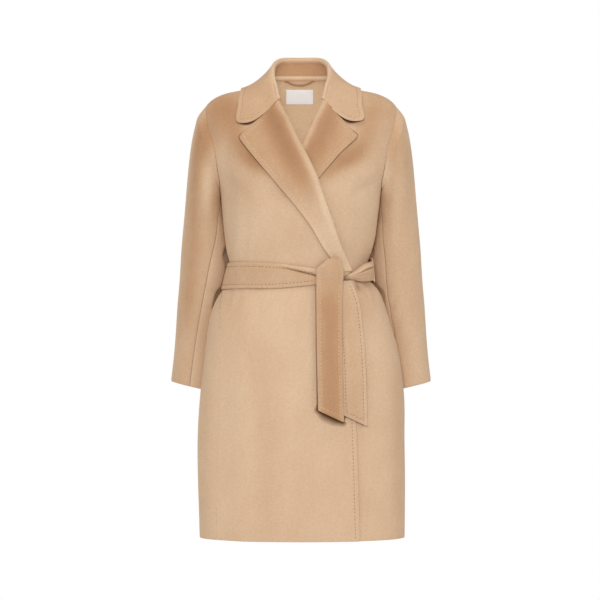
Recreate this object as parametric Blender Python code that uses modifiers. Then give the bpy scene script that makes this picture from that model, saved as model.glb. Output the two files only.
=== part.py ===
"""Belted wrap coat, hollow and filled out as it is worn.

Metres, +Z up. The origin is between the shoulders, level with the base of the
neck. The front faces -Y, and +X is the wearer's left. Tables are in millimetres.
"""

import math

import bmesh
import bpy
import numpy as np

# ------------------------------------------------------------------ sizes

MM = 0.001
CLOTH = 2.2 * MM          # wool cloth of the coat
BELT_CLOTH = 2.6 * MM     # two layers, sewn round
LOOP_CLOTH = 1.6 * MM
LABEL_CLOTH = 0.6 * MM
SEAM = 0.3 * MM           # clear gap between two pieces at a seam
LAYER = 4.6 * MM          # middle of one layer to the middle of the layer on it

ROUNDNESS = 2.25          # exponent of the body's sections: 2 is an ellipse

# Body, a ring for each height from the hem to the neck. Above the underarm a ring
# tips forward and back from its height at the side. Columns: height at the side, in
# front and at the back, half width right and left, front, back and centre y.
BODY = {
    "hem": (-984, -984, -984, 221, 226, -124, 125, -15),
    "skirt low": (-930, -930, -930, 222.5, 226.5, -126, 127, -15),
    "skirt": (-840, -840, -840, 225, 226.5, -128, 130, -15),
    "skirt middle": (-750, -750, -750, 224.5, 225.5, -129, 132, -15),
    "hip low": (-680, -680, -680, 220, 225, -130, 133, -15),
    "hip": (-630, -630, -630, 215, 220, -130, 133, -14),
    "hip high": (-580, -580, -580, 209.5, 212.5, -128, 131, -13),
    "gathers low": (-520, -520, -520, 201.5, 196, -124, 126, -12),
    "gathers": (-473, -473, -473, 188, 181, -119, 118, -11),
    "under belt": (-444, -444, -444, 171, 167, -113, 110, -10),
    "waist low": (-425, -425, -425, 160, 154, -110, 104, -10),
    "waist": (-405, -405, -405, 155, 149, -109, 101, -10),
    "waist high": (-384, -384, -384, 156, 147, -110, 102, -9),
    "over belt": (-360, -360, -360, 161.5, 153, -114, 106, -8),
    "ribs": (-330, -330, -330, 166, 161.5, -122, 112, -7),
    "ribs high": (-290, -290, -290, 170.5, 167, -130, 120, -6),
    "chest": (-250, -250, -250, 174, 172, -134, 125, -5),
    "underarm": (-224, -224, -224, 177.5, 175.5, -134, 127, -5),
    "armhole low": (-190, -200, -198, 193, 192, -132, 129, -4),
    "armhole middle": (-150, -172, -165, 206, 206, -128, 130, -2),
    "armhole high": (-105, -143, -128, 214, 214, -121, 127, 0),
    "cap": (-70, -122, -95, 217, 217, -114, 121, 0),
    "shoulder point": (-41, -106, -66, 208, 208, -106, 113, 1),
    "shoulder outer": (-22.5, -97, -44, 187, 187, -100, 105, 2),
    "shoulder middle": (-12, -92, -27, 160, 160, -95, 98, 3),
    "shoulder inner": (-6, -88, -13, 132, 132, -90, 91, 4),
    "under collar": (3, -85, 0, 105, 105, -85, 84, 5),
    "near neck": (13, -82, 12, 84, 84, -80, 77, 5),
    "neck": (20, -80, 23, 67, 67, -75, 70, 5),
}
ARMHOLE_WIDTH = math.radians(28)     # half width of the armhole, round the body
PANEL_HEIGHTS = (-984, -890, -790, -700, -630, -570, -520, -484, -460, -441, -423,
                 -405, -386, -362, -330, -290, -255)
ARMHOLE_ROWS = 10
SHOULDER_ROWS = 5

# Edge of the over front, measured past the centre: straight up from the hem to the
# belt, then the line on which the lapel rolls, up to the neck. Columns: z, reach.
FRONT_EDGE = (
    (-984, 124.5),
    (-850, 120.5),
    (-730, 116.5),
    (-500, 114),
    (-430, 112),
    (-385, 97),
    (-345, 81),
    (-300, 66),
    (-245, 47),
    (-200, 32),
    (-160, 13),
    (-120, -8),
    (-75, -29),
    (-33, -49),
    (0, -62),
)

# How far the over front stands off the body where it lies on the under front.
# Columns: z, lift.
LAP = (
    (-984, 4.6),
    (-700, 4.6),
    (-470, 4.8),
    (-430, 6.5),
    (-400, 9),
    (-370, 10.2),
    (-240, 10.8),
    (-145, 10.8),
    (-105, 7.5),
    (-65, 2.5),
    (-20, 0),
    (30, 0),
)
LAP_FADE = (-168 * MM, -116 * MM)    # the lift grows between these two places
LAP_FRONT = (10 * MM, 60 * MM)       # and between these distances before the sides

# Lapels: each row runs from the roll line to the lapel's edge, and dips on its way.
# Columns: z of the roll line, x and z of the edge, dip.
LAPEL_LIFT = 5.2 * MM      # off its front
ROLL_LIFT = 5.0 * MM       # off its front at the roll line
LAPEL_RIGHT = (
    (-34, -127, -108.5, 5),
    (-48, -131, -114, 3.5),
    (-66, -127, -124.5, 1.5),
    (-105, -100, -159, 0),
    (-150, -75, -189, 0),
    (-205, -45, -225, 0),
    (-262, -8, -269, 0),
    (-315, 26, -315, 0),
    (-345, 43, -345, 0),
    (-367, 58, -367, 0),
)
LAPEL_LEFT = (
    (-33.5, 112, -103, 0),
    (-48, 119, -109, 0),
    (-66, 116, -119, 0),
    (-105, 91, -142, 0),
    (-150, 66, -170, 0),
    (-205, 37, -205, 0),
    (-262, 2, -255, 0),
    (-315, -31, -310, 0),
    (-345, -50, -342, 0),
    (-367, -64, -366, 0),
)

# Collar, from the centre back round to the front end of one side. The roll is the
# radius of its fold, the drop is how far the fold's two sides come down, and the bow
# is how far the path to the edge swings towards the front, in degrees. Columns: angle
# at the neck, x, y and z of the fold, angle of the edge and its reach down from the
# neck, roll, drop, bow.
COLLAR = (
    (180, 0, 80, 74, 180, 73, 4, 5, 0),
    (153, 31, 77, 74, 152, 73, 4, 5, 0),
    (128, 50, 58, 69, 130, 73, 4, 5, 0),
    (108, 59, 32, 58, 111, 72, 4, 5, 0),
    (90, 61, 6, 46, 92, 73, 4, 5, 0),
    (73, 60.5, -19, 27, 75, 77, 4, 4, 0),
    (60, 55.5, -43, 3, 60, 92, 3.5, 2, 0),
    (50, 51.5, -54, -17, 47.5, 118, 3, 0.5, 1.5),
    (43.5, 47.8, -59, -29.7, 37, 158, 3, 0, 9.5),
)
STAND_END = 5.3            # station at which the stand ends, short of the gorge
COLLAR_LIFT = 5.0 * MM
COLLAR_FALL = 2.2          # how quickly the fall comes down from its fold

# Sleeve: inner and outer line of the tube, its depth to the front and the back, and
# the turn of its seams, in degrees forward and back from its inner line. Columns: x, y
# and z of the inner line, x, y and z of the outer line, front and back depth, turn of
# the front seam of the right and of the left sleeve, turn of the back seam.
SLEEVE = {
    "cap": (180, 6, -232, 228, 4, -70, 60, 64, 8, 8, -38),
    "cap low": (176, 20, -247, 238, 6, -112, 63, 67, 22, 22, -44),
    "biceps high": (171, 36, -270, 245.5, 10, -165, 65, 68, 40, 38, -52),
    "biceps": (167, 44, -302, 251, 17, -222, 65, 67, 56, 50, -60),
    "above elbow": (163, 50, -345, 257, 26, -288, 64, 65, 69, 61, -67),
    "elbow high": (160, 55, -395, 263.5, 36, -355, 62, 62, 82, 69, -73),
    "elbow": (163, 60, -440, 268, 46, -420, 60, 59, 87, 66, -78),
    "elbow low": (173, 67, -490, 273.5, 56, -478, 57, 56, 88, 62, -81),
    "forearm": (184, 75, -545, 277.5, 64, -535, 54, 53, 89, 60, -83),
    "wrist": (192, 80, -605, 282.5, 71, -592, 51, 51, 92, 60, -84),
    "cuff": (199, 84, -668, 289, 77, -646, 49, 49, 93, 60, -84),
}
ARMHOLE_RADIUS = 90 * MM
SLEEVE_RADIUS = 50 * MM
ARMHOLE_GAP = 1.3 * MM      # middle of the sleeve's wall to the panels' edges
UNDERARM_GAP = 1.6 * MM     # more than that under the arm, where the sleeve turns down
SLEEVE_CLEAR = 4.4 * MM     # middle of the sleeve's wall to the middle of the body's wall
BELT_CLEAR = 5 * MM         # more than that beside the belt
BELT_ZONE = (-500 * MM, -450 * MM, -370 * MM, -340 * MM)
HEAD_ROWS = (0, 0.15, 0.55)    # rows between the armhole and the sleeve's first section
HEAD_STEP = 4.5 * MM           # how far the first of them is from the armhole
HEAD_SPRING = 0.03             # how much it springs outwards at the underarm
HEAD_SEAM = 1.6                # how much wider the seam's gap is there
SLEEVE_SEAM = 1.4 * SEAM
SEAM_START = (4, 4, -36)       # turns of the seams at the armhole, in degrees

# Belt, from the knot round the right side, the back and the left side. Columns: angle
# in degrees, z, half height.
BELT = (
    (12, -416, 15),
    (2, -415.5, 19),
    (-14, -414.5, 25),
    (-32, -413, 27),
    (-90, -414, 27.5),
    (-180, -408, 27.5),
    (-255, -402, 27),
    (-284, -401, 25),
)
# Twisted stretch, from the left side to the knot. Columns: x, z, half height, bulge.
TURN = (
    (141, -401, 23, 2),
    (128, -405, 20, 6),
    (112, -412, 13, 8),
    (98, -419, 8, 6),
    (87, -423, 5, 2),
)
BELT_AT_SIDE = {-1: (-414 * MM, 27.5 * MM), 1: (-402 * MM, 27 * MM)}
LOOP_HALF_ANGLE = math.radians(0.8)
# Belt loop, from its lower end to its upper end. Columns: height in halves of the
# belt's width from its middle, lift, and whether the lift is from the belt.
LOOP = (
    (-1.55, 3.2, False),
    (-1.35, 5, False),
    (-1.08, 3.6, True),
    (-0.5, 3.6, True),
    (0.5, 3.6, True),
    (1.08, 3.6, True),
    (1.35, 5, False),
    (1.55, 3.2, False),
)
KNOT_X = (32 * MM, 83 * MM)
# Wrap of the knot, from behind the belt's upper edge down. Columns: z, lift, inset.
KNOT = (
    (-388, 5.5, 4),
    (-378, 5.5, 4),
    (-372, 9.5, 3),
    (-377, 14, 1.5),
    (-392, 17, 0.5),
    (-412, 18.5, 0),
    (-430, 17, 0),
)
# Hanging ends, from the knot down. Columns: z, x, lift.
TAIL_FRONT = (
    (-430.6, 57.5, 17),
    (-480, 58, 15),
    (-560, 59, 14),
    (-640, 60.5, 15.5),
    (-711, 62, 19),
)
TAIL_BACK = (
    (-434, 79, 4.5),
    (-470, 95, 4.6),
    (-520, 103, 4.8),
    (-600, 109.5, 5.2),
    (-721, 112.5, 7),
)
TAIL_WIDTH = 51 * MM
TAIL_SLANT = 25 * MM      # how much lower the tail's corner on the wearer's left hangs

NECK_CENTRE_X = -3 * MM
LABEL_SIZE = (60 * MM, 32 * MM)
LABEL_TOP = 1.5 * MM
HANGER_HALF = 33 * MM
HANGER_TOP = 19 * MM
HANGER_SAG = 10 * MM
HANGER_RADIUS = 1.9 * MM
HANGER_OFF = (1.2 * MM, 3.2 * MM)    # its gap to the back, at its ends and its middle

# Colour and roughness of each finish.
FINISHES = {
    "wool": ((0.62, 0.43, 0.27), 0.85),
    "wool_dark": ((0.52, 0.33, 0.19), 0.85),
    "label": ((0.85, 0.83, 0.78), 0.7),
}


# ------------------------------------------------------------------ curves

def smooth_course(stations, rows):
    """Natural cubic curve through the rows, one for each station."""
    at_row = np.array(stations, float)
    value = np.array(rows, float)
    step = np.diff(at_row)
    slope = np.diff(value, axis=0) / step[:, None]
    matrix = np.eye(len(at_row))
    right = np.zeros_like(value)
    for i in range(1, len(at_row) - 1):
        matrix[i, i - 1:i + 2] = step[i - 1], 2 * (step[i - 1] + step[i]), step[i]
        right[i] = 6 * (slope[i] - slope[i - 1])
    bend = np.linalg.solve(matrix, right)

    def read(station):
        at = np.clip(np.asarray(station, float), at_row[0], at_row[-1])
        i = np.clip(np.searchsorted(at_row, at, side="right") - 1, 0, len(at_row) - 2)
        h = step[i][..., None]
        b = (at - at_row[i])[..., None] / h
        a = 1 - b
        curve = (a**3 - a) * bend[i] + (b**3 - b) * bend[i + 1]
        return a * value[i] + b * value[i + 1] + curve * h * h / 6

    return read


def table_course(rows):
    """Curve through a table whose first column rises: its value gives the others."""
    table = np.array(sorted(rows), float) * MM
    return smooth_course(table[:, 0], table[:, 1:])


def ease(value, low, high):
    """0 below low, 1 above high, smooth between them."""
    t = np.clip((np.asarray(value, float) - low) / (high - low), 0, 1)
    return t * t * (3 - 2 * t)


def unit(vectors):
    return vectors / np.linalg.norm(vectors, axis=-1, keepdims=True)


# ------------------------------------------------------------------ body form

BODY_ROWS = np.array(list(BODY.values()), float) * MM
SIDE_STEPS = np.hypot(np.diff(BODY_ROWS[:, 0]), np.diff(BODY_ROWS[:, 3]))
LEVELS = np.concatenate([[0], np.cumsum(SIDE_STEPS)])     # length up the side from the hem
LEVEL = dict(zip(BODY, LEVELS))
NECK = LEVEL["neck"]
read_body = smooth_course(LEVELS, BODY_ROWS)
read_edge = table_course(FRONT_EDGE)
read_lap = table_course(LAP)


def body(angle, level):
    """Middle of the body's wall. The angle is 0 in front and grows to the wearer's left."""
    angle, level = np.broadcast_arrays(np.asarray(angle, float), np.asarray(level, float))
    side_z, front_z, back_z, right, left, front_y, back_y, centre = np.moveaxis(read_body(level), -1, 0)
    s, c = np.sin(angle), np.cos(angle)
    power = 2 / ROUNDNESS
    x = np.sign(s) * np.where(s < 0, right, left) * np.abs(s) ** power
    y = centre + np.where(c > 0, front_y - centre, back_y - centre) * np.abs(c) ** power
    z = side_z + (np.where(c > 0, front_z, back_z) - side_z) * c * c
    return np.stack([x, y, z], axis=-1)


def body_out(angle, level):
    """Direction out of the body's wall."""
    turn, climb = 0.01, 0.002
    low = np.minimum(level, NECK - climb)
    across = body(angle + turn, level) - body(angle - turn, level)
    up = body(angle, low + climb) - body(angle, low - climb)
    return unit(np.cross(across, up))


def angle_at(x, level, back=False):
    """Angle at which the ring of that level reaches x."""
    right, left = np.moveaxis(read_body(level)[..., 3:5], -1, 0)
    share = np.clip(np.abs(x) / np.where(x < 0, right, left), 0, 1)
    angle = np.sign(x) * np.arcsin(share ** (ROUNDNESS / 2))
    return np.pi - angle if back else angle


def place(x, z, back=False):
    """Angle and level of the place of the front, or back, that has this x and z."""
    x, z = np.broadcast_arrays(np.asarray(x, float), np.asarray(z, float))
    low = np.zeros(x.shape)
    high = np.full(x.shape, NECK)
    for _ in range(40):
        middle = (low + high) / 2
        right, left = np.moveaxis(read_body(middle)[..., 3:5], -1, 0)
        above_armhole = middle > LEVEL["cap"]
        past = above_armhole & (np.abs(x) > np.where(x < 0, right, left))
        too_high = past | (body(angle_at(x, middle, back), middle)[..., 2] > z)
        high = np.where(too_high, middle, high)
        low = np.where(too_high, low, middle)
    return angle_at(x, low, back), low


def on_body(x, z, lift, back=False):
    """Point of the front, or back, at x and z, moved out by the lift."""
    angle, level = place(x, z, back)
    return body(angle, level) + body_out(angle, level) * np.asarray(lift)[..., None]


def lap_lift(points):
    """How far the over front stands off the body at these points of it."""
    x, y, z = np.moveaxis(points, -1, 0)
    return read_lap(z)[..., 0] * ease(x, *LAP_FADE) * ease(-y, *LAP_FRONT)


def edge_angle(level, side):
    """Angle of the front edge, or roll line, on the ring of that level."""
    low = np.full(np.shape(level), -0.9)
    high = np.full(np.shape(level), 1.2)
    for _ in range(40):
        middle = (low + high) / 2
        point = body(side * middle, level)
        past = side * point[..., 0] > read_edge(point[..., 2])[..., 0]
        high = np.where(past, middle, high)
        low = np.where(past, low, middle)
    return side * low


def armhole_angle(level):
    """How far before or behind the side the armhole's edge is at that level."""
    bottom, top = LEVEL["underarm"], LEVEL["shoulder point"]
    t = (np.asarray(level) - (bottom + top) / 2) / ((top - bottom) / 2)
    return ARMHOLE_WIDTH * np.sqrt(np.clip(1 - t * t, 0, 1))


def panel_levels():
    """Levels of a panel's rows, close together at the waist and round the armhole."""
    low = np.interp(np.array(PANEL_HEIGHTS) * MM, BODY_ROWS[:, 0], LEVELS)
    shoulder = np.linspace(LEVEL["shoulder point"], NECK, SHOULDER_ROWS + 1)[1:]
    return np.concatenate([low, armhole_level(armhole_turns()), shoulder])


def armhole_turns():
    """Turns at which the panels' rows meet the front half of the armhole's edge."""
    return np.linspace(0, math.pi, ARMHOLE_ROWS + 1)


def armhole_level(turn):
    """Level of the armhole's edge, where the turn is 0 at the underarm."""
    bottom, top = LEVEL["underarm"], LEVEL["shoulder point"]
    return (bottom + top) / 2 - (top - bottom) / 2 * np.cos(turn)


# ------------------------------------------------------------------ cloth

def sheet(name, points, thickness, finish):
    """Cloth wall through a grid of points: rows, columns, then x, y and z."""
    rows, columns = points.shape[:2]
    grid = bmesh.new()
    bmesh.ops.create_grid(grid, x_segments=columns - 1, y_segments=rows - 1, size=1)
    for vertex in grid.verts:
        column = round((vertex.co.x + 1) / 2 * (columns - 1))
        row = round((vertex.co.y + 1) / 2 * (rows - 1))
        vertex.co = points[row, column]
    bmesh.ops.triangulate(grid, faces=grid.faces[:], quad_method="BEAUTY")
    mesh = bpy.data.meshes.new(name)
    grid.to_mesh(mesh)
    grid.free()
    mesh.shade_smooth()
    mesh.materials.append(material(name, finish))
    piece = bpy.data.objects.new(name, mesh)
    coat.objects.link(piece)
    wall = piece.modifiers.new("cloth", "SOLIDIFY")
    wall.thickness = thickness
    wall.offset = 0
    return piece


def material(name, finish):
    colour, roughness = FINISHES[finish]
    made = bpy.data.materials.new(f"{name} {finish}")
    made.use_nodes = True
    shader = made.node_tree.nodes["Principled BSDF"]
    shader.inputs["Base Color"].default_value = (*colour, 1)
    shader.inputs["Roughness"].default_value = roughness
    return made


# ------------------------------------------------------------------ panels

def make_back():
    level = panel_levels()
    reach = armhole_angle(level) + SEAM / read_body(level)[:, 3]
    across = np.linspace(0, 1, 20)
    start = (math.pi / 2 + reach)[:, None]
    end = (3 * math.pi / 2 - reach)[:, None]
    angle = start + (end - start) * across
    sheet("back", body(angle, level[:, None]), CLOTH, "wool")


def make_front(name, side, columns):
    """One front, from its edge or roll line to the side seam and the armhole."""
    level = panel_levels()
    reach = armhole_angle(level) + SEAM / read_body(level)[:, 3]
    inner = edge_angle(level, side)[:, None]
    outer = (-side * (math.pi / 2 - reach))[:, None]
    across = np.linspace(0, 1, columns + 1)
    if side < 0:
        angle = inner + (outer - inner) * across
    else:
        angle = outer + (inner - outer) * across
    points = body(angle, level[:, None])
    if side > 0:
        points = points + body_out(angle, level[:, None]) * lap_lift(points)[..., None]
    sheet(name, points, CLOTH, "wool")


def make_lapel(name, side, table):
    """Lapel, turned back over its front from the roll line."""
    rows = smooth_course(range(len(table)), np.array(table) * MM)
    roll_z, edge_x, edge_z, dip = rows(np.linspace(0, len(table) - 1, 13)).T[..., None]
    across = np.linspace(0, 1, 8)
    roll_x = side * read_edge(roll_z[:, 0])
    x = roll_x + (edge_x - roll_x) * across
    z = roll_z + (edge_z - roll_z) * across - dip * np.sin(math.pi * across**0.7)
    near_roll = 1 - ease(across, 0, 0.3)
    lift = LAPEL_LIFT - (LAPEL_LIFT - ROLL_LIFT) * near_roll
    base = on_body(x, z, np.zeros(x.shape))
    if side > 0:
        lift = lift + lap_lift(base)
        points = on_body(x, z, lift)
        points = points[:, ::-1]
    else:
        points = on_body(x, z, lift)
    sheet(name, points[::-1], CLOTH, "wool_dark")


# ------------------------------------------------------------------ collar

def collar_rows(stations):
    """Columns of the collar's table at stations from -8 to 8, in metres and radians."""
    half = np.array(COLLAR, float)
    half[:, [1, 2, 3, 5, 6, 7]] *= MM
    half[:, [0, 4, 8]] = np.radians(half[:, [0, 4, 8]])
    mirror = half[:0:-1].copy()
    mirror[:, [0, 4]] = 2 * math.pi - mirror[:, [0, 4]]
    mirror[:, [1, 8]] *= -1
    count = len(COLLAR) - 1
    return smooth_course(range(-count, count + 1), np.concatenate([mirror, half]))(stations)


def collar_frame(stations):
    """Foot and fold of the collar, and its directions up the stand and outwards."""
    row = collar_rows(stations)
    foot = body(row[:, 0], np.full(len(row), NECK))
    fold = row[:, 1:4]
    up = unit(fold - foot)
    along = collar_rows(stations + 0.05)[:, 1:4] - collar_rows(stations - 0.05)[:, 1:4]
    out = unit(np.cross(up, along))
    return row, foot, fold, up, out


def make_collar():
    """Fall of the collar, from inside its fold to its outer edge on the shoulders."""
    count = len(COLLAR) - 1
    row, foot, fold, up, out = collar_frame(np.linspace(-count, count, 29))
    roll, drop = row[:, 6:7], row[:, 7:8]
    inside = fold - out * roll - up * drop
    outside = fold + out * roll - up * drop
    across = np.array([0, 0.14, 0.3, 0.5, 0.74, 0.93, 1])
    swing = (1 - (1 - across) ** 2.2) * (1 - across**9)
    angle = row[:, 0:1] + (row[:, 4:5] - row[:, 0:1]) * across - row[:, 8:9] * swing
    level = NECK - row[:, 5:6] * across
    base = body(angle, level)
    base = base + body_out(angle, level) * (COLLAR_LIFT + lap_lift(base))[..., None]
    rise = outside[:, None] - base[:, :1]
    fall = base + rise * ((1 - across) ** COLLAR_FALL)[:, None]
    points = np.concatenate([inside[:, None], fold[:, None], fall], axis=1)
    sheet("collar", points[:, ::-1], CLOTH, "wool")


def make_stand():
    """Stand of the collar, from the neck seam up to just under the fold."""
    row, foot, fold, up, out = collar_frame(np.linspace(-STAND_END, STAND_END, 23))
    low = foot + up * (CLOTH / 2 + 2 * SEAM)
    high = fold - out * row[:, 6:7] - up * (row[:, 7:8] + CLOTH)
    share = np.linspace(0, 1, 3)[:, None, None]
    points = low + (high - low) * share
    sheet("collar_stand", points[::-1], CLOTH, "wool_dark")


# ------------------------------------------------------------------ sleeves

def armhole_corner(turn, side, inset):
    """Place on the armhole's edge, drawn in towards the middle by the inset's share."""
    level = armhole_level(turn)
    middle = armhole_level(math.pi / 2)
    angle = side * (math.pi / 2 - ARMHOLE_WIDTH * np.sin(turn) * (1 - inset))
    level = middle + (level - middle) * (1 - inset)
    return body(angle, level), body_out(angle, level)


def sleeve_loop(turn, side):
    """Sleeve's edge in the armhole, along the straight steps of the panels' edges."""
    inset = (ARMHOLE_GAP + UNDERARM_GAP * (1 + np.cos(turn)) / 2) / ARMHOLE_RADIUS
    step = math.pi / ARMHOLE_ROWS
    before = np.floor(turn / step)
    share = (turn / step - before)[..., None]
    first, first_out = armhole_corner(before * step, side, inset)
    second, second_out = armhole_corner((before + 1) * step, side, inset)
    return first + (second - first) * share, unit(first_out + (second_out - first_out) * share)


def sleeve_points(turn, along, side):
    """Middle of the sleeve's wall: the turn goes round it, and along is 0 at the armhole."""
    rows = np.array(list(SLEEVE.values()), float)[:, :8] * MM
    read = smooth_course(range(1, len(rows) + 1), rows)
    row = read(np.maximum(along, 1))
    inner, outer = row[..., 0:3], row[..., 3:6]
    depth = np.where(np.sin(turn) > 0, row[..., 6], row[..., 7])
    middle = (inner + outer) / 2 - (outer - inner) / 2 * np.cos(turn)[..., None]
    tube = middle - np.sin(turn)[..., None] * depth[..., None] * np.array([0, 1, 0])
    tube[..., 0] *= side
    tube = clear_of_body(tube, side)
    loop, out = sleeve_loop(turn, side)
    share = np.clip(along, 0, 1)[..., None]
    spring = out * HEAD_SPRING * (1 + np.cos(turn))[..., None]
    start = loop + unit(tube - loop + spring) * HEAD_STEP
    first = np.clip(share / HEAD_ROWS[1], 0, 1)
    rest = np.clip((share - HEAD_ROWS[1]) / (1 - HEAD_ROWS[1]), 0, 1)
    near = loop + (start - loop) * first
    return np.where(along[..., None] < 1, near + (tube - near) * rest, tube)


def clear_of_body(points, side):
    """Push a sleeve's points out sideways until they are clear of the body."""
    heights = BODY_ROWS[:, 0]
    level = np.interp(points[..., 2], heights, LEVELS)
    row = read_body(level)
    half = row[..., 3] if side < 0 else row[..., 4]
    centre = row[..., 7]
    z = points[..., 2]
    clear = SLEEVE_CLEAR + BELT_CLEAR * ease(z, *BELT_ZONE[:2]) * (1 - ease(z, *BELT_ZONE[2:]))
    depth = np.where(points[..., 1] < centre, centre - row[..., 5], row[..., 6] - centre) + clear
    share = np.clip(np.abs(points[..., 1] - centre) / depth, 0, 1)
    wall = (half + clear) * (1 - share**ROUNDNESS) ** (1 / ROUNDNESS)
    below = points[..., 2] < BODY["underarm"][0] * MM
    reach = side * points[..., 0]
    points[..., 0] = side * np.where(below, np.maximum(reach, wall), reach)
    return points


def sleeve_seams(along, side):
    """Turn of the front and the back seam along the sleeve."""
    rows = np.radians(np.array([row[8:] for row in SLEEVE.values()], float))
    start = np.radians([SEAM_START])
    read = smooth_course(range(len(rows) + 1), np.concatenate([start, rows]))
    row = read(along)
    front = row[..., 0] if side < 0 else row[..., 1]
    return front, row[..., 2]


def make_sleeve(wearer_side, side):
    along = np.concatenate([HEAD_ROWS, np.arange(1, len(SLEEVE) + 1)])[:, None]
    front, back = sleeve_seams(along, side)
    gap = SLEEVE_SEAM / SLEEVE_RADIUS * (1 + HEAD_SEAM * (1 - ease(along, 0, 1.5)))
    pieces = (
        ("upper", front + gap, back + 2 * math.pi - gap, 13),
        ("under", back + gap, front - gap, 9),
    )
    for part, start, end, count in pieces:
        turn = start + (end - start) * np.linspace(0, 1, count)
        points = sleeve_points(turn, along + 0 * turn, side)
        if side > 0:
            points = points[:, ::-1]
        sheet(f"sleeve_{wearer_side}_{part}", points, CLOTH, "wool")


# ------------------------------------------------------------------ belt

def over_front(x, z, lift):
    """Point over the lapped fronts at x and z, the lift measured from the over front."""
    base = on_body(x, z, np.zeros(np.shape(x)))
    return on_body(x, z, lap_lift(base) + lift)


def belt_wall(angle, centre, half, up):
    """Belt's wall, straight from its lower to its upper edge over the body."""
    ends = []
    for edge in (-1, 1):
        z = centre + half * edge
        level = np.interp(z, BODY_ROWS[:, 0], LEVELS)
        base = body(angle, level)
        lift = lap_lift(base) + LAYER
        outward = body_out(angle, level) * np.array([1, 1, 0])
        ends.append(base + unit(outward) * lift[..., None])
    share = (np.asarray(up, float) + 1)[..., None] / 2
    return ends[0] + (ends[1] - ends[0]) * share


def make_belt_band():
    table = np.array(BELT, float)
    order = np.argsort(table[:, 0])
    read = smooth_course(np.radians(table[order, 0]), table[order, 1:] * MM)
    angle = np.linspace(math.radians(-284), math.radians(12), 34)
    row = read(angle)
    centre, half = row[:, 0], row[:, 1]
    up = np.array([-1, 0, 1])[:, None]
    points = belt_wall(angle, centre, half, up)
    sheet("belt_band", points, BELT_CLOTH, "wool")


def make_belt_turn():
    """Twisted stretch of the belt between the left side and the knot."""
    rows = smooth_course(range(len(TURN)), np.array(TURN, float) * MM)
    x, z, half, bulge = rows(np.linspace(0, len(TURN) - 1, 9)).T
    up = np.linspace(-1, 1, 6)[:, None]
    lift = LAYER + bulge * (1 - up * up)
    points = over_front(x + 0 * up, z + half * up, lift)
    sheet("belt_turn", points[:, ::-1], BELT_CLOTH, "wool")


def make_knot():
    """The wrap of the knot, over the belt from behind its upper edge."""
    rows = smooth_course(range(len(KNOT)), np.array(KNOT, float) * MM)
    z, lift, inset = rows(np.linspace(0, len(KNOT) - 1, 11)).T[..., None]
    across = np.linspace(0, 1, 5)
    x = KNOT_X[0] + inset + (KNOT_X[1] - KNOT_X[0] - 2 * inset) * across
    points = over_front(x, z + 0 * x, lift + 0 * x)
    sheet("belt_knot", points[::-1], BELT_CLOTH, "wool_dark")


def make_tail(name, table, finish):
    rows = smooth_course(range(len(table)), np.array(table, float) * MM)
    z, x, lift = rows(np.linspace(0, len(table) - 1, 13)).T[..., None]
    across = np.linspace(-0.5, 0.5, 4)
    down = np.linspace(0, 1, 13)[:, None] ** 3
    place_x = x + TAIL_WIDTH * across
    place_z = z - TAIL_SLANT * down * across
    points = over_front(place_x, place_z, lift + 0 * place_x)
    sheet(name, points[::-1], BELT_CLOTH, finish)


def make_belt_loop(name, side):
    """Thin loop at the side seam, from the body out over the belt and back."""
    centre, half = BELT_AT_SIDE[side]
    angle = side * math.pi / 2 + LOOP_HALF_ANGLE * np.array([-side, side])
    rows = []
    for up, lift, on_belt in LOOP:
        if on_belt:
            wall = belt_wall(angle, centre, half, up)
        else:
            level = np.interp(centre + half * up, BODY_ROWS[:, 0], LEVELS)
            wall = body(angle, level)
        wall[:, 0] += side * lift * MM
        rows.append(wall)
    sheet(name, np.array(rows)[::side], LOOP_CLOTH, "wool")


# ------------------------------------------------------------------ inside the neck

def make_label():
    """Bare woven label inside the back, under the neck."""
    x = NECK_CENTRE_X + LABEL_SIZE[0] * np.linspace(-0.5, 0.5, 5)
    z = LABEL_TOP - LABEL_SIZE[1] * np.linspace(0, 1, 4)[:, None]
    lift = -(CLOTH / 2 + LABEL_CLOTH / 2 + 2 * SEAM)
    points = on_body(x + 0 * z, z + 0 * x, np.full((4, 5), lift), back=True)
    sheet("label", points, LABEL_CLOTH, "label")


def make_hanger_loop():
    """Rouleau loop, sewn in at its two ends under the back neck."""
    curve = bpy.data.curves.new("hanger_loop", "CURVE")
    curve.dimensions = "3D"
    curve.bevel_depth = HANGER_RADIUS
    curve.bevel_resolution = 2
    curve.use_fill_caps = True
    line = curve.splines.new("POLY")
    share = np.linspace(-1, 1, 13)
    line.points.add(len(share) - 1)
    x = NECK_CENTRE_X + HANGER_HALF * share
    z = HANGER_TOP - HANGER_SAG * (1 - share**2)
    off = HANGER_OFF[0] + (HANGER_OFF[1] - HANGER_OFF[0]) * (1 - share**2)
    lift = -(CLOTH / 2 + HANGER_RADIUS + off)
    for point, place_at in zip(line.points, on_body(x, z, lift, back=True)):
        point.co = (*place_at, 1)
    curve.materials.append(material("hanger_loop", "wool"))
    loop = bpy.data.objects.new("hanger_loop", curve)
    coat.objects.link(loop)


# ------------------------------------------------------------------ coat

for old in list(bpy.data.objects):
    bpy.data.objects.remove(old, do_unlink=True)
coat = bpy.data.collections.new("wrap_coat")
bpy.context.scene.collection.children.link(coat)

make_back()
make_front("front_right", 1, 17)
make_front("front_left", -1, 16)
make_lapel("lapel_right", 1, LAPEL_RIGHT)
make_lapel("lapel_left", -1, LAPEL_LEFT)
make_collar()
make_stand()
make_sleeve("right", -1)
make_sleeve("left", 1)
make_belt_band()
make_belt_turn()
make_knot()
make_tail("belt_tail_front", TAIL_FRONT, "wool_dark")
make_tail("belt_tail_back", TAIL_BACK, "wool")
make_belt_loop("belt_loop_right", -1)
make_belt_loop("belt_loop_left", 1)
make_label()
make_hanger_loop()
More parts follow.
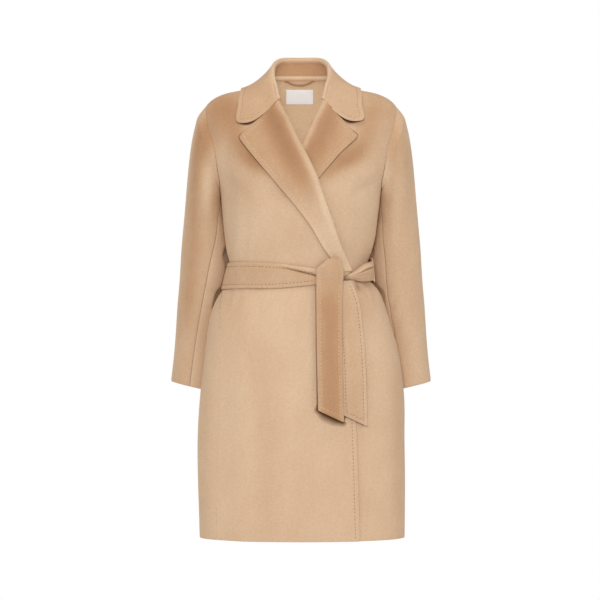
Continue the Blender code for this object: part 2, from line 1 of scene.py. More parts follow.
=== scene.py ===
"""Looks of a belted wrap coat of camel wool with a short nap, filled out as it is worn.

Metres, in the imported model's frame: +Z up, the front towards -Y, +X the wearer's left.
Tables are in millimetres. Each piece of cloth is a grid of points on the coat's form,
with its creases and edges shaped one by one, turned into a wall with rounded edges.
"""

import math

import bpy
import numpy as np
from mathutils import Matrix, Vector, kdtree


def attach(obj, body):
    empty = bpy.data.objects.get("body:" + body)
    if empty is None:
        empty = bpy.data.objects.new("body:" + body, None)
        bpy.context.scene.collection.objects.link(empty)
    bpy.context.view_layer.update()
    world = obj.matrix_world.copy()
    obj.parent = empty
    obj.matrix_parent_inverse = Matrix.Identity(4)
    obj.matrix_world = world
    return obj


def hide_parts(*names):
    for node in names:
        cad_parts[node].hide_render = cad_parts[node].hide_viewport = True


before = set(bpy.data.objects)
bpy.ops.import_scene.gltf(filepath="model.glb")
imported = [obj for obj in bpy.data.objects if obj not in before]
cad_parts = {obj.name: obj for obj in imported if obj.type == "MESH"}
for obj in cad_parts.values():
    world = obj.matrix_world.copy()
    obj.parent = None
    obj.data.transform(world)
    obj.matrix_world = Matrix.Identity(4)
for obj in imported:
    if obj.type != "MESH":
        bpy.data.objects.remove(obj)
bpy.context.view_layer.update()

# ------------------------------------------------------------------ sizes

MM = 0.001
CLOTH = 2.2 * MM          # wool cloth of the coat
BELT_CLOTH = 2.8 * MM     # two layers, sewn round
LABEL_CLOTH = 0.5 * MM
LAYER = 4.6 * MM          # middle of one layer to the middle of the layer on it
ROUNDNESS = 2.25          # exponent of the body's sections: 2 is an ellipse

# Body, a ring for each height from the hem to the neck. Above the underarm a ring
# tips forward and back from its height at the side. Columns: height at the side, in
# front and at the back, half width right and left, front, back and centre y.
BODY = {
    "hem": (-984, -984, -984, 221, 226, -124, 125, -15),
    "skirt low": (-930, -930, -930, 222.5, 226.5, -126, 127, -15),
    "skirt": (-840, -840, -840, 225, 226.5, -128, 130, -15),
    "skirt middle": (-750, -750, -750, 224.5, 225.5, -129, 132, -15),
    "hip low": (-680, -680, -680, 220, 225, -130, 133, -15),
    "hip": (-630, -630, -630, 215, 220, -130, 133, -14),
    "hip high": (-580, -580, -580, 209.5, 212.5, -128, 131, -13),
    "gathers low": (-520, -520, -520, 201.5, 196, -124, 126, -12),
    "gathers": (-473, -473, -473, 188, 181, -119, 118, -11),
    "under belt": (-444, -444, -444, 171, 167, -113, 110, -10),
    "waist low": (-425, -425, -425, 160, 154, -110, 104, -10),
    "waist": (-405, -405, -405, 155, 149, -109, 101, -10),
    "waist high": (-384, -384, -384, 156, 147, -110, 102, -9),
    "over belt": (-360, -360, -360, 161.5, 153, -114, 106, -8),
    "ribs": (-330, -330, -330, 166, 161.5, -122, 112, -7),
    "ribs high": (-290, -290, -290, 170.5, 167, -130, 120, -6),
    "chest": (-250, -250, -250, 174, 172, -134, 125, -5),
    "underarm": (-224, -224, -224, 177.5, 175.5, -134, 127, -5),
    "armhole low": (-190, -200, -198, 193, 192, -132, 129, -4),
    "armhole middle": (-150, -172, -165, 206, 206, -128, 130, -2),
    "armhole high": (-105, -143, -128, 214, 214, -121, 127, 0),
    "cap": (-70, -122, -95, 217, 217, -114, 121, 0),
    "shoulder point": (-41, -106, -66, 208, 208, -106, 113, 1),
    "shoulder outer": (-22.5, -97, -44, 187, 187, -100, 105, 2),
    "shoulder middle": (-12, -92, -27, 160, 160, -95, 98, 3),
    "shoulder inner": (-6, -88, -13, 132, 132, -90, 91, 4),
    "under collar": (3, -85, 0, 105, 105, -85, 84, 5),
    "near neck": (13, -82, 12, 84, 84, -80, 77, 5),
    "neck": (20, -80, 23, 67, 67, -75, 70, 5),
}
ARMHOLE_WIDTH = math.radians(28)     # half width of the armhole, round the body

# Edge of the over front, measured past the centre: straight up from the hem to the
# belt, then the line on which the lapel rolls, up to the neck. Columns: z, reach.
FRONT_EDGE = (
    (-984, 124.5),
    (-850, 120.5),
    (-730, 116.5),
    (-500, 114),
    (-430, 112),
    (-385, 97),
    (-345, 81),
    (-300, 66),
    (-245, 47),
    (-200, 32),
    (-160, 13),
    (-120, -8),
    (-75, -29),
    (-33, -49),
    (0, -62),
)

# How far the over front stands off the body where it lies on the under front.
# Columns: z, lift.
LAP = (
    (-984, 4.6),
    (-700, 4.6),
    (-470, 4.8),
    (-430, 6.5),
    (-400, 9),
    (-370, 10.2),
    (-240, 10.8),
    (-145, 10.8),
    (-105, 7.5),
    (-65, 2.5),
    (-20, 0),
    (30, 0),
)
LAP_FADE = (-168 * MM, -116 * MM)    # the lift grows between these two places
LAP_FRONT = (10 * MM, 60 * MM)       # and between these distances before the sides

# Lapels: each row runs from the roll line to the lapel's edge, and dips on its way.
# Columns: z of the roll line, x and z of the edge, dip, puff of the roll.
LAPEL_LIFT = 5.2 * MM
LAPEL_RIGHT = (
    (-34, -127, -108.5, 5, 2.2),
    (-48, -131, -114, 3.5, 2.4),
    (-66, -127, -124.5, 1.5, 2.4),
    (-105, -100, -159, 0, 2.2),
    (-150, -75, -189, 0, 1.8),
    (-205, -45, -225, 0, 1.4),
    (-262, -8, -269, 0, 1.0),
    (-315, 26, -315, 0, 0.6),
    (-345, 43, -345, 0, 0.2),
    (-367, 58, -367, 0, 0),
    (-386, 71, -386, 0, 0),
    (-404, 84, -404, 0, 0),
)
LAPEL_LEFT = (
    (-33.5, 112, -103, 0, 2.2),
    (-48, 119, -109, 0, 2.4),
    (-66, 116, -119, 0, 2.4),
    (-105, 91, -142, 0, 2.2),
    (-150, 66, -170, 0, 1.4),
    (-205, 37, -205, 0, 0.4),
    (-262, 2, -255, 0, 0),
    (-315, -31, -310, 0, 0),
    (-345, -50, -342, 0, 0),
    (-367, -64, -366, 0, 0),
)
ROLL_WIDTH = 9 * MM        # how far the roll's curve reaches in from its line
PUFF_WIDTH = 26 * MM       # how far in the lapel lies puffed up beside its roll

# Collar, from the centre back round to the front end of one side. The roll is the
# radius of its fold, the drop is how far the fold's two sides come down, and the bow
# is how far the path to the edge swings towards the front, in degrees. Columns: angle
# at the neck, x, y and z of the fold, angle of the edge and its reach down from the
# neck, roll, drop, bow.
COLLAR = (
    (180, 0, 80, 74, 180, 73, 4, 5, 0),
    (153, 31, 77, 74, 152, 73, 4, 5, 0),
    (128, 50, 58, 69, 130, 70, 4, 5, 0),
    (108, 59, 32, 58, 111, 67, 4, 5, 0),
    (90, 61, 6, 46, 92, 67, 4, 5, 0),
    (73, 60.5, -19, 27, 75, 73, 4, 4, 0),
    (60, 55.5, -43, 3, 60, 92, 3.5, 2, 0),
    (50, 51.5, -54, -17, 47.5, 118, 3, 0.5, 1.5),
    (43.5, 47.8, -59, -29.7, 36.5, 168, 3, 0, 11),
)
COLLAR_SHORTER = (0, 0, 0, 0, 0, 1.5, 4, 6, 8)     # reach that the wearer's left side lacks
COLLAR_CORNER = 10 * MM
STAND_END = 5.3            # station at which the stand ends, short of the gorge
COLLAR_LIFT = 5.0 * MM
COLLAR_FALL = 2.2          # how quickly the fall comes down from its fold

# Sleeve: inner and outer line of the tube, its depth to the front and the back, and
# the turn of its seams, in degrees forward and back from its inner line. Columns: x, y
# and z of the inner line, x, y and z of the outer line, front and back depth, turn of
# the front seam of the right and of the left sleeve, turn of the back seam.
SLEEVE = {
    "cap": (175.5, 13, -232, 228, 4, -70, 68, 68, 8, 8, -38),
    "cap low": (172, 26, -247, 238, 6, -112, 70, 70, 22, 22, -44),
    "biceps high": (168, 38, -270, 245.5, 10, -165, 70, 70, 40, 38, -52),
    "biceps": (162, 46, -302, 251, 17, -222, 68, 68, 56, 50, -60),
    "above elbow": (154, 52, -345, 257, 26, -288, 64, 65, 69, 61, -67),
    "elbow high": (149, 57, -395, 263.5, 36, -355, 62, 62, 82, 69, -73),
    "elbow": (156, 61, -440, 268, 46, -420, 60, 59, 87, 66, -78),
    "elbow low": (170, 67, -490, 273.5, 56, -478, 57, 56, 88, 62, -81),
    "forearm": (184, 75, -545, 277.5, 64, -535, 54, 53, 89, 60, -83),
    "wrist": (192, 80, -605, 282.5, 71, -592, 51, 51, 92, 60, -84),
    "cuff": (199, 84, -668, 289, 77, -646, 49, 49, 93, 60, -84),
}
SLEEVE_CLEAR = 2.5 * MM      # least room between the sleeve and the body
BELT_CLEAR = 11.5 * MM       # what the belt needs besides
BELT_ZONE = (-500 * MM, -450 * MM, -370 * MM, -340 * MM)     # where that grows and fades
SEAM_START = (4, 4, -36)     # turn of the seams at the armhole

# Belt, from the knot round the right side, the back and the left side. Columns: angle
# in degrees, z, half height.
BELT = (
    (12, -416, 15),
    (2, -415.5, 19),
    (-14, -414.5, 25),
    (-32, -413, 27),
    (-90, -414, 27.5),
    (-180, -408, 27.5),
    (-255, -402, 27),
    (-284, -401, 25),
)
BELT_AT_SIDE = {-1: (-414 * MM, 27.5 * MM), 1: (-402 * MM, 27 * MM)}     # z, half height

NECK_CENTRE_X = -3 * MM
LABEL_SIZE = (60 * MM, 31 * MM)
LABEL_TOP = 4.5 * MM
LABEL_PUFF = 0.9 * MM        # how far the label stands off the back, and again at its middle
LABEL_INSET = 1.6 * MM
HANGER_HALF = 32 * MM
HANGER_TOP = 24 * MM
HANGER_SAG = 9 * MM
HANGER_RADIUS = 1.4 * MM


# ------------------------------------------------------------------ curves

def smooth_course(stations, rows):
    """Natural cubic curve through the rows, one for each station."""
    at_row = np.array(stations, float)
    value = np.array(rows, float)
    step = np.diff(at_row)
    slope = np.diff(value, axis=0) / step[:, None]
    matrix = np.eye(len(at_row))
    right = np.zeros_like(value)
    for i in range(1, len(at_row) - 1):
        matrix[i, i - 1:i + 2] = step[i - 1], 2 * (step[i - 1] + step[i]), step[i]
        right[i] = 6 * (slope[i] - slope[i - 1])
    bend = np.linalg.solve(matrix, right)

    def read(station):
        at = np.clip(np.asarray(station, float), at_row[0], at_row[-1])
        i = np.clip(np.searchsorted(at_row, at, side="right") - 1, 0, len(at_row) - 2)
        h = step[i][..., None]
        b = (at - at_row[i])[..., None] / h
        a = 1 - b
        curve = (a**3 - a) * bend[i] + (b**3 - b) * bend[i + 1]
        return a * value[i] + b * value[i + 1] + curve * h * h / 6

    return read


def table_course(rows):
    """Curve through a table whose first column rises: its value gives the others."""
    table = np.array(sorted(rows), float) * MM
    return smooth_course(table[:, 0], table[:, 1:])


def ease(value, low, high):
    """0 below low, 1 above high, smooth between them."""
    t = np.clip((np.asarray(value, float) - low) / (high - low), 0, 1)
    return t * t * (3 - 2 * t)


def bell(distance, width):
    """1 at no distance, falling away smoothly over the width."""
    return np.exp(-(distance / width) ** 2)


def unit(vectors):
    return vectors / np.maximum(np.linalg.norm(vectors, axis=-1, keepdims=True), 1e-12)


# ------------------------------------------------------------------ body form

BODY_ROWS = np.array(list(BODY.values()), float) * MM
SIDE_STEPS = np.hypot(np.diff(BODY_ROWS[:, 0]), np.diff(BODY_ROWS[:, 3]))
LEVELS = np.concatenate([[0], np.cumsum(SIDE_STEPS)])     # length up the side from the hem
LEVEL = dict(zip(BODY, LEVELS))
NECK = LEVEL["neck"]
read_body = smooth_course(LEVELS, BODY_ROWS)
read_edge = table_course(FRONT_EDGE)
read_lap = table_course(LAP)
HALVINGS = 36                   # steps of each search for a place
EDGE_SEARCH = (-0.95, 1.2)      # angles between which the front edge lies


def body(angle, level):
    """Middle of the body's wall. The angle is 0 in front and grows to the wearer's left."""
    angle, level = np.broadcast_arrays(np.asarray(angle, float), np.asarray(level, float))
    rows = np.moveaxis(read_body(level), -1, 0)
    side_z, front_z, back_z, right, left, front_y, back_y, centre = rows
    s, c = np.sin(angle), np.cos(angle)
    power = 2 / ROUNDNESS
    x = np.sign(s) * np.where(s < 0, right, left) * np.abs(s) ** power
    y = centre + np.where(c > 0, front_y - centre, back_y - centre) * np.abs(c) ** power
    z = side_z + (np.where(c > 0, front_z, back_z) - side_z) * c * c
    return np.stack([x, y, z], axis=-1)


def body_out(angle, level):
    """Direction out of the body's wall."""
    turn, climb = 0.01, 0.002
    low = np.minimum(level, NECK - climb)
    across = body(angle + turn, level) - body(angle - turn, level)
    up = body(angle, low + climb) - body(angle, low - climb)
    return unit(np.cross(across, up))


def angle_at(x, level, back=False):
    """Angle at which the ring of that level reaches x."""
    right, left = np.moveaxis(read_body(level)[..., 3:5], -1, 0)
    share = np.clip(np.abs(x) / np.where(x < 0, right, left), 0, 1)
    angle = np.sign(x) * np.arcsin(share ** (ROUNDNESS / 2))
    return np.pi - angle if back else angle


def place(x, z, back=False):
    """Angle and level of the place of the front, or back, that has this x and z."""
    x, z = np.broadcast_arrays(np.asarray(x, float), np.asarray(z, float))
    low = np.zeros(x.shape)
    high = np.full(x.shape, NECK)
    for _ in range(HALVINGS):
        middle = (low + high) / 2
        right, left = np.moveaxis(read_body(middle)[..., 3:5], -1, 0)
        above_armhole = middle > LEVEL["cap"]
        past = above_armhole & (np.abs(x) > np.where(x < 0, right, left))
        too_high = past | (body(angle_at(x, middle, back), middle)[..., 2] > z)
        high = np.where(too_high, middle, high)
        low = np.where(too_high, low, middle)
    return angle_at(x, low, back), low


def on_body(x, z, lift, back=False):
    """Point of the front, or back, at x and z, moved out by the lift."""
    angle, level = place(x, z, back)
    return body(angle, level) + body_out(angle, level) * np.asarray(lift)[..., None]


def lap_lift(points):
    """How far the over front stands off the body at these points of it."""
    x, y, z = np.moveaxis(points, -1, 0)
    return read_lap(z)[..., 0] * ease(x, *LAP_FADE) * ease(-y, *LAP_FRONT)


def edge_angle(level, side, inset=0):
    """Angle of the front edge, or roll line, on the ring of that level."""
    low = np.full(np.shape(level), EDGE_SEARCH[0])
    high = np.full(np.shape(level), EDGE_SEARCH[1])
    for _ in range(HALVINGS):
        middle = (low + high) / 2
        point = body(side * middle, level)
        past = side * point[..., 0] > read_edge(point[..., 2])[..., 0] - inset
        high = np.where(past, middle, high)
        low = np.where(past, low, middle)
    return side * low


def armhole_angle(level):
    """How far before or behind the side the armhole's edge is at that level."""
    bottom, top = LEVEL["underarm"], LEVEL["shoulder point"]
    t = (np.asarray(level) - (bottom + top) / 2) / ((top - bottom) / 2)
    return ARMHOLE_WIDTH * np.sqrt(np.clip(1 - t * t, 0, 1))


def armhole_level(turn):
    """Level of the armhole's edge, where the turn is 0 at the underarm."""
    bottom, top = LEVEL["underarm"], LEVEL["shoulder point"]
    return (bottom + top) / 2 - (top - bottom) / 2 * np.cos(turn)


# ------------------------------------------------------------------ grids of cloth

def spread(count, ends=0.4):
    """Shares from 0 to 1, closer together towards both ends."""
    s = np.linspace(0, 1, count)
    return ends * s + (1 - ends) * (1 - np.cos(math.pi * s)) / 2


def normals_of(points):
    return unit(np.cross(np.gradient(points, axis=1), np.gradient(points, axis=0)))


def run(points, axis):
    """Length along the cloth from the first column (axis 1) or the first row (axis 0)."""
    steps = np.linalg.norm(np.diff(points, axis=axis), axis=-1)
    start = np.zeros_like(np.take(steps, [0], axis=axis))
    return np.concatenate([start, np.cumsum(steps, axis=axis)], axis=axis)


def from_edge(points, edge):
    """Distance along the cloth from the named edge of the grid."""
    if edge in ("first column", "last column"):
        length = run(points, 1)
        return length if edge == "first column" else length[:, -1:] - length
    length = run(points, 0)
    return length if edge == "first row" else length[-1:] - length


def cut_of(points):
    """Width, length and area of the flat cut that the grid was made from."""
    width = run(points, 1)[:, -1].max()
    length = run(points, 0)[-1].max()
    side = points[1:, :-1] - points[:-1, :-1]
    across = points[:-1, 1:] - points[:-1, :-1]
    far_side = points[:-1, 1:] - points[1:, 1:]
    far_across = points[1:, :-1] - points[1:, 1:]
    area = np.linalg.norm(np.cross(side, across), axis=-1).sum() / 2
    area += np.linalg.norm(np.cross(far_side, far_across), axis=-1).sum() / 2
    return width, length, area


def along_line(line, reach, at):
    """Points of the line at these lengths along it."""
    return np.stack([np.interp(at, reach, line[:, k]) for k in range(3)], axis=-1)


def densified(line, step=1.5 * MM):
    """The line with a point at every step."""
    reach = run(line[None], 1)[0]
    return along_line(line, reach, np.linspace(0, reach[-1], max(2, int(reach[-1] / step))))


def search_tree(points):
    """Tree that finds the nearest of the points."""
    tree = kdtree.KDTree(len(points))
    for i, spot in enumerate(points):
        tree.insert(spot, i)
    tree.balance()
    return tree


def distance_to(points, line):
    """Distance from each point of a grid to a line of points."""
    tree = search_tree(densified(line))
    found = [tree.find(point)[2] for point in points.reshape(-1, 3)]
    return np.array(found).reshape(points.shape[:-1])


RIM_ANGLES = np.radians([55, 20, -20, -55])     # round the edge, from one face to the other
SHADOW_LINES = ("seam", "under_lapel", "under_collar", "under_belt", "under_tail")
FAR = 50.0                                      # too far from a line for its shadow


def new_piece(name, corners, faces, finish, nodes=()):
    """Smooth mesh of these corners and faces, as a piece of the coat."""
    mesh = bpy.data.meshes.new(name)
    mesh.from_pydata(corners, [], faces)
    mesh.shade_smooth()
    mesh.materials.append(finish)
    piece = bpy.data.objects.new(name, mesh)
    bpy.context.scene.collection.objects.link(piece)
    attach(piece, "root")
    if nodes:
        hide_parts(*nodes)
    return piece


def keep_on(mesh, lengths, values_of):
    """UV map of each corner's lengths along the cloth, and attributes by their names."""
    corner_at = np.zeros(len(mesh.loops), np.int32)
    mesh.loops.foreach_get("vertex_index", corner_at)
    layer = mesh.uv_layers.new(name="cut")
    layer.data.foreach_set("uv", lengths[corner_at].astype(np.float32).ravel())
    for key, values in values_of.items():
        attribute = mesh.attributes.new(key, "FLOAT", "POINT")
        attribute.data.foreach_set("value", np.asarray(values, np.float32))


def wall_of(points, normal, thickness):
    """Corners and faces of a closed wall through the middle points, with rounded edges.

    The corners are those of the outside, of the inside and round the edge. The third
    value is the place in the grid that each corner was made from.
    """
    rows, columns = points.shape[:2]
    count, half = rows * columns, thickness / 2
    at = np.arange(count).reshape(rows, columns)
    border = np.concatenate([at[0, :-1], at[:-1, -1], at[-1, :0:-1], at[:0:-1, 0]])
    flat, out = points.reshape(-1, 3), normal.reshape(-1, 3)
    edge, edge_normal = flat[border], out[border]
    sideways = unit(np.cross(np.roll(edge, -1, 0) - np.roll(edge, 1, 0), edge_normal))
    rims = [edge + half * (math.sin(a) * edge_normal + math.cos(a) * sideways)
            for a in RIM_ANGLES]
    corners = np.concatenate([flat + out * half, flat - out * half, *rims])

    here = at[:-1, :-1].ravel()
    quads = np.stack([here, here + 1, here + columns + 1, here + columns], axis=1)
    faces = [quads, quads[:, ::-1] + count]
    rim_start = 2 * count + len(border) * np.arange(len(RIM_ANGLES))
    loops = [border, *[start + np.arange(len(border)) for start in rim_start], border + count]
    for upper, lower in zip(loops[:-1], loops[1:]):
        faces.append(np.stack([np.roll(upper, -1), upper, lower, np.roll(lower, -1)], axis=1))
    source = np.concatenate([at.ravel(), at.ravel(), np.tile(border, len(RIM_ANGLES))])
    return corners, np.concatenate(faces), source


def sewn(name, points, thickness, finish, nodes=None, nap=0.0,
         shade=0.0, lines=None, normal=None):
    """A piece of cloth that replaces its nodes, and prints the cut of what shows.

    Its UV map holds lengths along the cloth in metres. The attribute nap says how far
    the nap lies in its dark direction, and some pieces also put painted shade and painted
    highlights into it; shade is painted shade where the cloth lies under another layer or
    in a fold, and inner is 1 on the inside of the garment, whose colour is painted lighter.
    The shadow lines hold how far a place is from a seam or from the edge of what lies on
    it, in units of that painted shadow's width.
    """
    normal = normals_of(points) if normal is None else normal
    corners, faces, source = wall_of(points, normal, thickness)
    piece = new_piece(name, corners, faces, finish, nodes or [name])

    def at_corners(values):
        return np.broadcast_to(values, points.shape[:2]).ravel()[source]

    count = points[..., 0].size
    inner = np.zeros(len(corners))
    inner[count:2 * count] = 1
    kept = {"nap": at_corners(nap), "shade": at_corners(shade) * (1 - inner), "inner": inner}
    for key in SHADOW_LINES:
        values = np.clip(at_corners((lines or {}).get(key, FAR)), -FAR, FAR)
        kept[key] = np.where(inner > 0, FAR, values)
    lengths = np.stack([at_corners(run(points, 1)), at_corners(run(points, 0))], axis=1)
    keep_on(piece.data, lengths, kept)
    width, length, area = cut_of(points)
    print(f"cut of {name}: {width:.3f} x {length:.3f} m, {area:.4f} m2")
    return piece


def creased(here_across, here_along, creases):
    """How far listed troughs and ridges move the cloth out, at places in millimetres.

    Each crease runs between two places, bows to one side, and has a width and a depth:
    a negative depth is a trough. The cloth beside it swells the other way a little.
    """
    move = np.zeros(np.shape(here_across))
    for x0, z0, x1, z1, bow, width, depth in creases:
        length = math.hypot(x1 - x0, z1 - z0)
        ax, az = (x1 - x0) / length, (z1 - z0) / length
        t = ((here_across - x0) * ax + (here_along - z0) * az) / length
        off = (here_across - x0) * -az + (here_along - z0) * ax - bow * 4 * t * (1 - t)
        taper = ease(t, -0.12, 0.35) * (1 - ease(t, 0.65, 1.12))
        beside = bell(off - 1.9 * width, width) + bell(off + 1.9 * width, width)
        move += depth * taper * (bell(off, width) - 0.35 * beside)
    return move * MM


def rounded_ends(points, radius):
    """The grid with the corners at both ends of its last row rounded."""
    down = np.minimum(from_edge(points, "last row").mean(axis=1), radius)
    inset = radius - np.sqrt(np.maximum(radius**2 - (radius - down) ** 2, 0))
    zone = 5 * radius
    made = points.copy()
    for i, cut in enumerate(inset):
        reach = run(points[i:i + 1], 1)[0]
        at = reach + cut * np.clip(1 - reach / zone, 0, 1) ** 2
        at -= cut * np.clip(1 - (reach[-1] - reach) / zone, 0, 1) ** 2
        made[i] = along_line(points[i], reach, at)
    return made


def patches(x, z, table):
    """Soft patches of darker nap or painted shade, lighter where the strength is negative.
    Columns: x, z, half width, half height, tilt, strength.
    """
    dark = np.zeros(np.shape(x))
    for x0, z0, wide, high, tilt, strength in table:
        turn = math.radians(tilt)
        across = (x / MM - x0) * math.cos(turn) + (z / MM - z0) * math.sin(turn)
        along = (z / MM - z0) * math.cos(turn) - (x / MM - x0) * math.sin(turn)
        dark += strength * np.exp(-(across / wide) ** 2 - (along / high) ** 2)
    return dark


# ------------------------------------------------------------------ stitches

STITCH_PITCH = 7.7 * MM
STITCH_LENGTH = 3.6 * MM
STITCH_RADIUS = 0.75 * MM
STITCH_RISE = 0.05 * MM     # how far a stitch is raised out of the cloth
STITCH_INSET = 9 * MM       # how far a row of hand stitches is from its edge
BELT_INSET = 8 * MM         # and on the belt
CORNER_KEPT = 0.94          # share of the inset at which a stitch counts as on its row
SEAM_DEPTH = 1.5 * MM       # how far a seam draws the cloth in
SEAM_DIP_WIDTH = 2.4 * MM
SEAM_HALF = 0.8 * MM        # half the gap between two panels
SEAM_WIDTH = 0.95 * MM      # shadow in a seam
BELT_SHADOW = 1.3 * MM      # shadow beside the belt at the back

# A stitched edge: how far in its row is, how far the row draws the cloth in and over
# which width, how much thinner the rim is and over which width.
CLOTH_EDGE = (STITCH_INSET, 0.35 * MM, 2.6 * MM, 0.35 * MM, 3.5 * MM)
BELT_EDGE = (BELT_INSET, 0.4 * MM, 2.6 * MM, 0.7 * MM, 4 * MM)


def stitched_edge(distance, edge=CLOTH_EDGE):
    """Cloth beside an edge: drawn in along the row of stitches, and thinner at its rim."""
    inset, dip, dip_width, thinner, rim = edge
    drawn_in = -dip * bell(distance - inset, dip_width)
    return drawn_in - thinner * np.clip(1 - distance / rim, 0, 1) ** 2


def seam_dip(distance):
    """Cloth drawn in along a seam."""
    return -SEAM_DEPTH * bell(distance, SEAM_DIP_WIDTH)


def shadow_line(points, line, widths, outside):
    """Distance of the places of a front from a line, in units of its shadow's width.

    Seen from the front, and negative on the line's inner side: outside is -1 where the
    outer side is on the right of the line's direction.
    """
    line = line[:, [0, 2]]
    start, step = line[:-1], np.diff(line, axis=0)
    here = points[..., None, [0, 2]] - start
    t = np.clip((here * step).sum(-1) / np.maximum((step**2).sum(-1), 1e-12), 0, 1)
    off = here - t[..., None] * step
    distance = np.linalg.norm(off, axis=-1)
    cross = step[:, 0] * here[..., 1] - step[:, 1] * here[..., 0]
    aside = np.abs(cross) / np.maximum(np.linalg.norm(step, axis=-1), 1e-9)
    nearest = (distance - 1e-4 * aside).argmin(-1)      # of two that meet, the one faced

    def picked(values):
        return np.take_along_axis(values, nearest[..., None], -1)[..., 0]

    share = picked(t)
    beyond = ((nearest == 0) & (share == 0)) | ((nearest == len(step) - 1) & (share == 1))
    sign = np.where(beyond | (picked(cross) * outside > 0), 1, -1)
    width = widths[nearest] + share * np.diff(widths)[nearest]
    return picked(distance) * sign / width


def crisp(distance):
    """A shadow line that stays dark for longer and then ends sooner."""
    dark_reach, steepness = 0.45, 2.2
    return np.sign(distance) * steepness * np.maximum(np.abs(distance) - dark_reach, 0)


def stitch_line(points, outline, thickness, inset=STITCH_INSET, normal=None):
    """Points and normals of the cloth's outside along an outline, drawn in from it."""
    flat = points.reshape(-1, 3)
    normal = (normals_of(points) if normal is None else normal).reshape(-1, 3)
    tree = search_tree(flat)
    line = densified(outline, 2 * MM)
    along = unit(np.gradient(line, axis=0))
    smoothing = np.ones(5) / 5
    for k in range(3):
        along[2:-2, k] = np.convolve(along[:, k], smoothing, "valid")
    up = normal[[tree.find(spot)[1] for spot in line]]
    inward = unit(np.cross(up, along))
    sides = [line + inward * inset * sign for sign in (1, -1)]
    reach = [sum(tree.find(spot)[2] for spot in moved) for moved in sides]
    line = sides[int(np.argmin(reach))]
    line = line[distance_to(line, outline) > CORNER_KEPT * inset]
    near = [tree.find(spot)[1] for spot in line]
    up = normal[near]
    line = line - up * ((line - flat[near]) * up).sum(-1)[:, None]
    return line + up * thickness / 2, up


def inset_line(points, edge, inset, thickness):
    """Points and normals of the cloth's outside along an edge, at the inset from it."""
    grids = [points, normals_of(points)]
    if edge == "last column":
        grids = [grid[:, ::-1] for grid in grids]
    elif edge == "first row":
        grids = [grid.swapaxes(0, 1) for grid in grids]
    elif edge == "last row":
        grids = [grid[::-1].swapaxes(0, 1) for grid in grids]
    length = run(grids[0], 1)
    line, out = [np.array([along_line(row, reach, inset) for row, reach in zip(grid, length)])
                 for grid in grids]
    out = unit(out)
    return line + out * thickness / 2, out


def one_stitch():
    """Corners and faces of a short length of thread that sinks in at both ends."""
    bpy.ops.object.select_all(action="DESELECT")
    bpy.ops.mesh.primitive_uv_sphere_add(segments=6, ring_count=4, radius=1)
    ball = bpy.context.object
    bpy.ops.object.mode_set(mode="EDIT")
    bpy.ops.mesh.select_all(action="SELECT")
    bpy.ops.transform.resize(value=(STITCH_RADIUS, STITCH_RADIUS, STITCH_LENGTH / 2))
    bpy.ops.object.mode_set(mode="OBJECT")
    corners = np.array([v.co for v in ball.data.vertices])
    faces = sorted(list(f.vertices) for f in ball.data.polygons)
    bpy.data.objects.remove(ball, do_unlink=True)
    return corners, faces


STITCH_CORNERS, STITCH_FACES = one_stitch()


def stitch_rows(name, rows, finish, pitch=STITCH_PITCH, scale=1.0):
    """Rows of stitches along lines of points with their normals, as one mesh."""
    rng = np.random.default_rng(7)
    uneven, sway, ahead = 0.12, 0.1, 0.3
    shape = STITCH_CORNERS * scale
    corners, faces = [], []
    for line, out in rows:
        reach = run(line[None], 1)[0]
        if reach[-1] < 3 * pitch:
            continue
        places = np.arange(pitch, reach[-1] - pitch / 2, pitch)
        places = places + rng.uniform(-uneven, uneven, len(places)) * pitch
        for at in places:
            here = along_line(line, reach, at)
            along = unit(along_line(line, reach, at + ahead * pitch) - here)
            sideways = unit(np.cross(unit(along_line(out, reach, at)), along))
            up = np.cross(along, sideways)
            along = unit(along + rng.uniform(-sway, sway) * sideways)
            start = len(corners) * len(shape)
            placed = here + shape[:, :1] * sideways + shape[:, 1:2] * up + shape[:, 2:] * along
            corners.append(placed + up * STITCH_RISE)
            faces.extend([[i + start for i in face] for face in STITCH_FACES])
    return new_piece(name, np.concatenate(corners), faces, finish)


# ------------------------------------------------------------------ finishes

def colour(red, green, blue):
    """Linear colour from the usual 0 to 255 values."""
    shares = [v / 255 for v in (red, green, blue)]
    return (*[v / 12.92 if v < 0.04045 else ((v + 0.055) / 1.055) ** 2.4 for v in shares], 1)


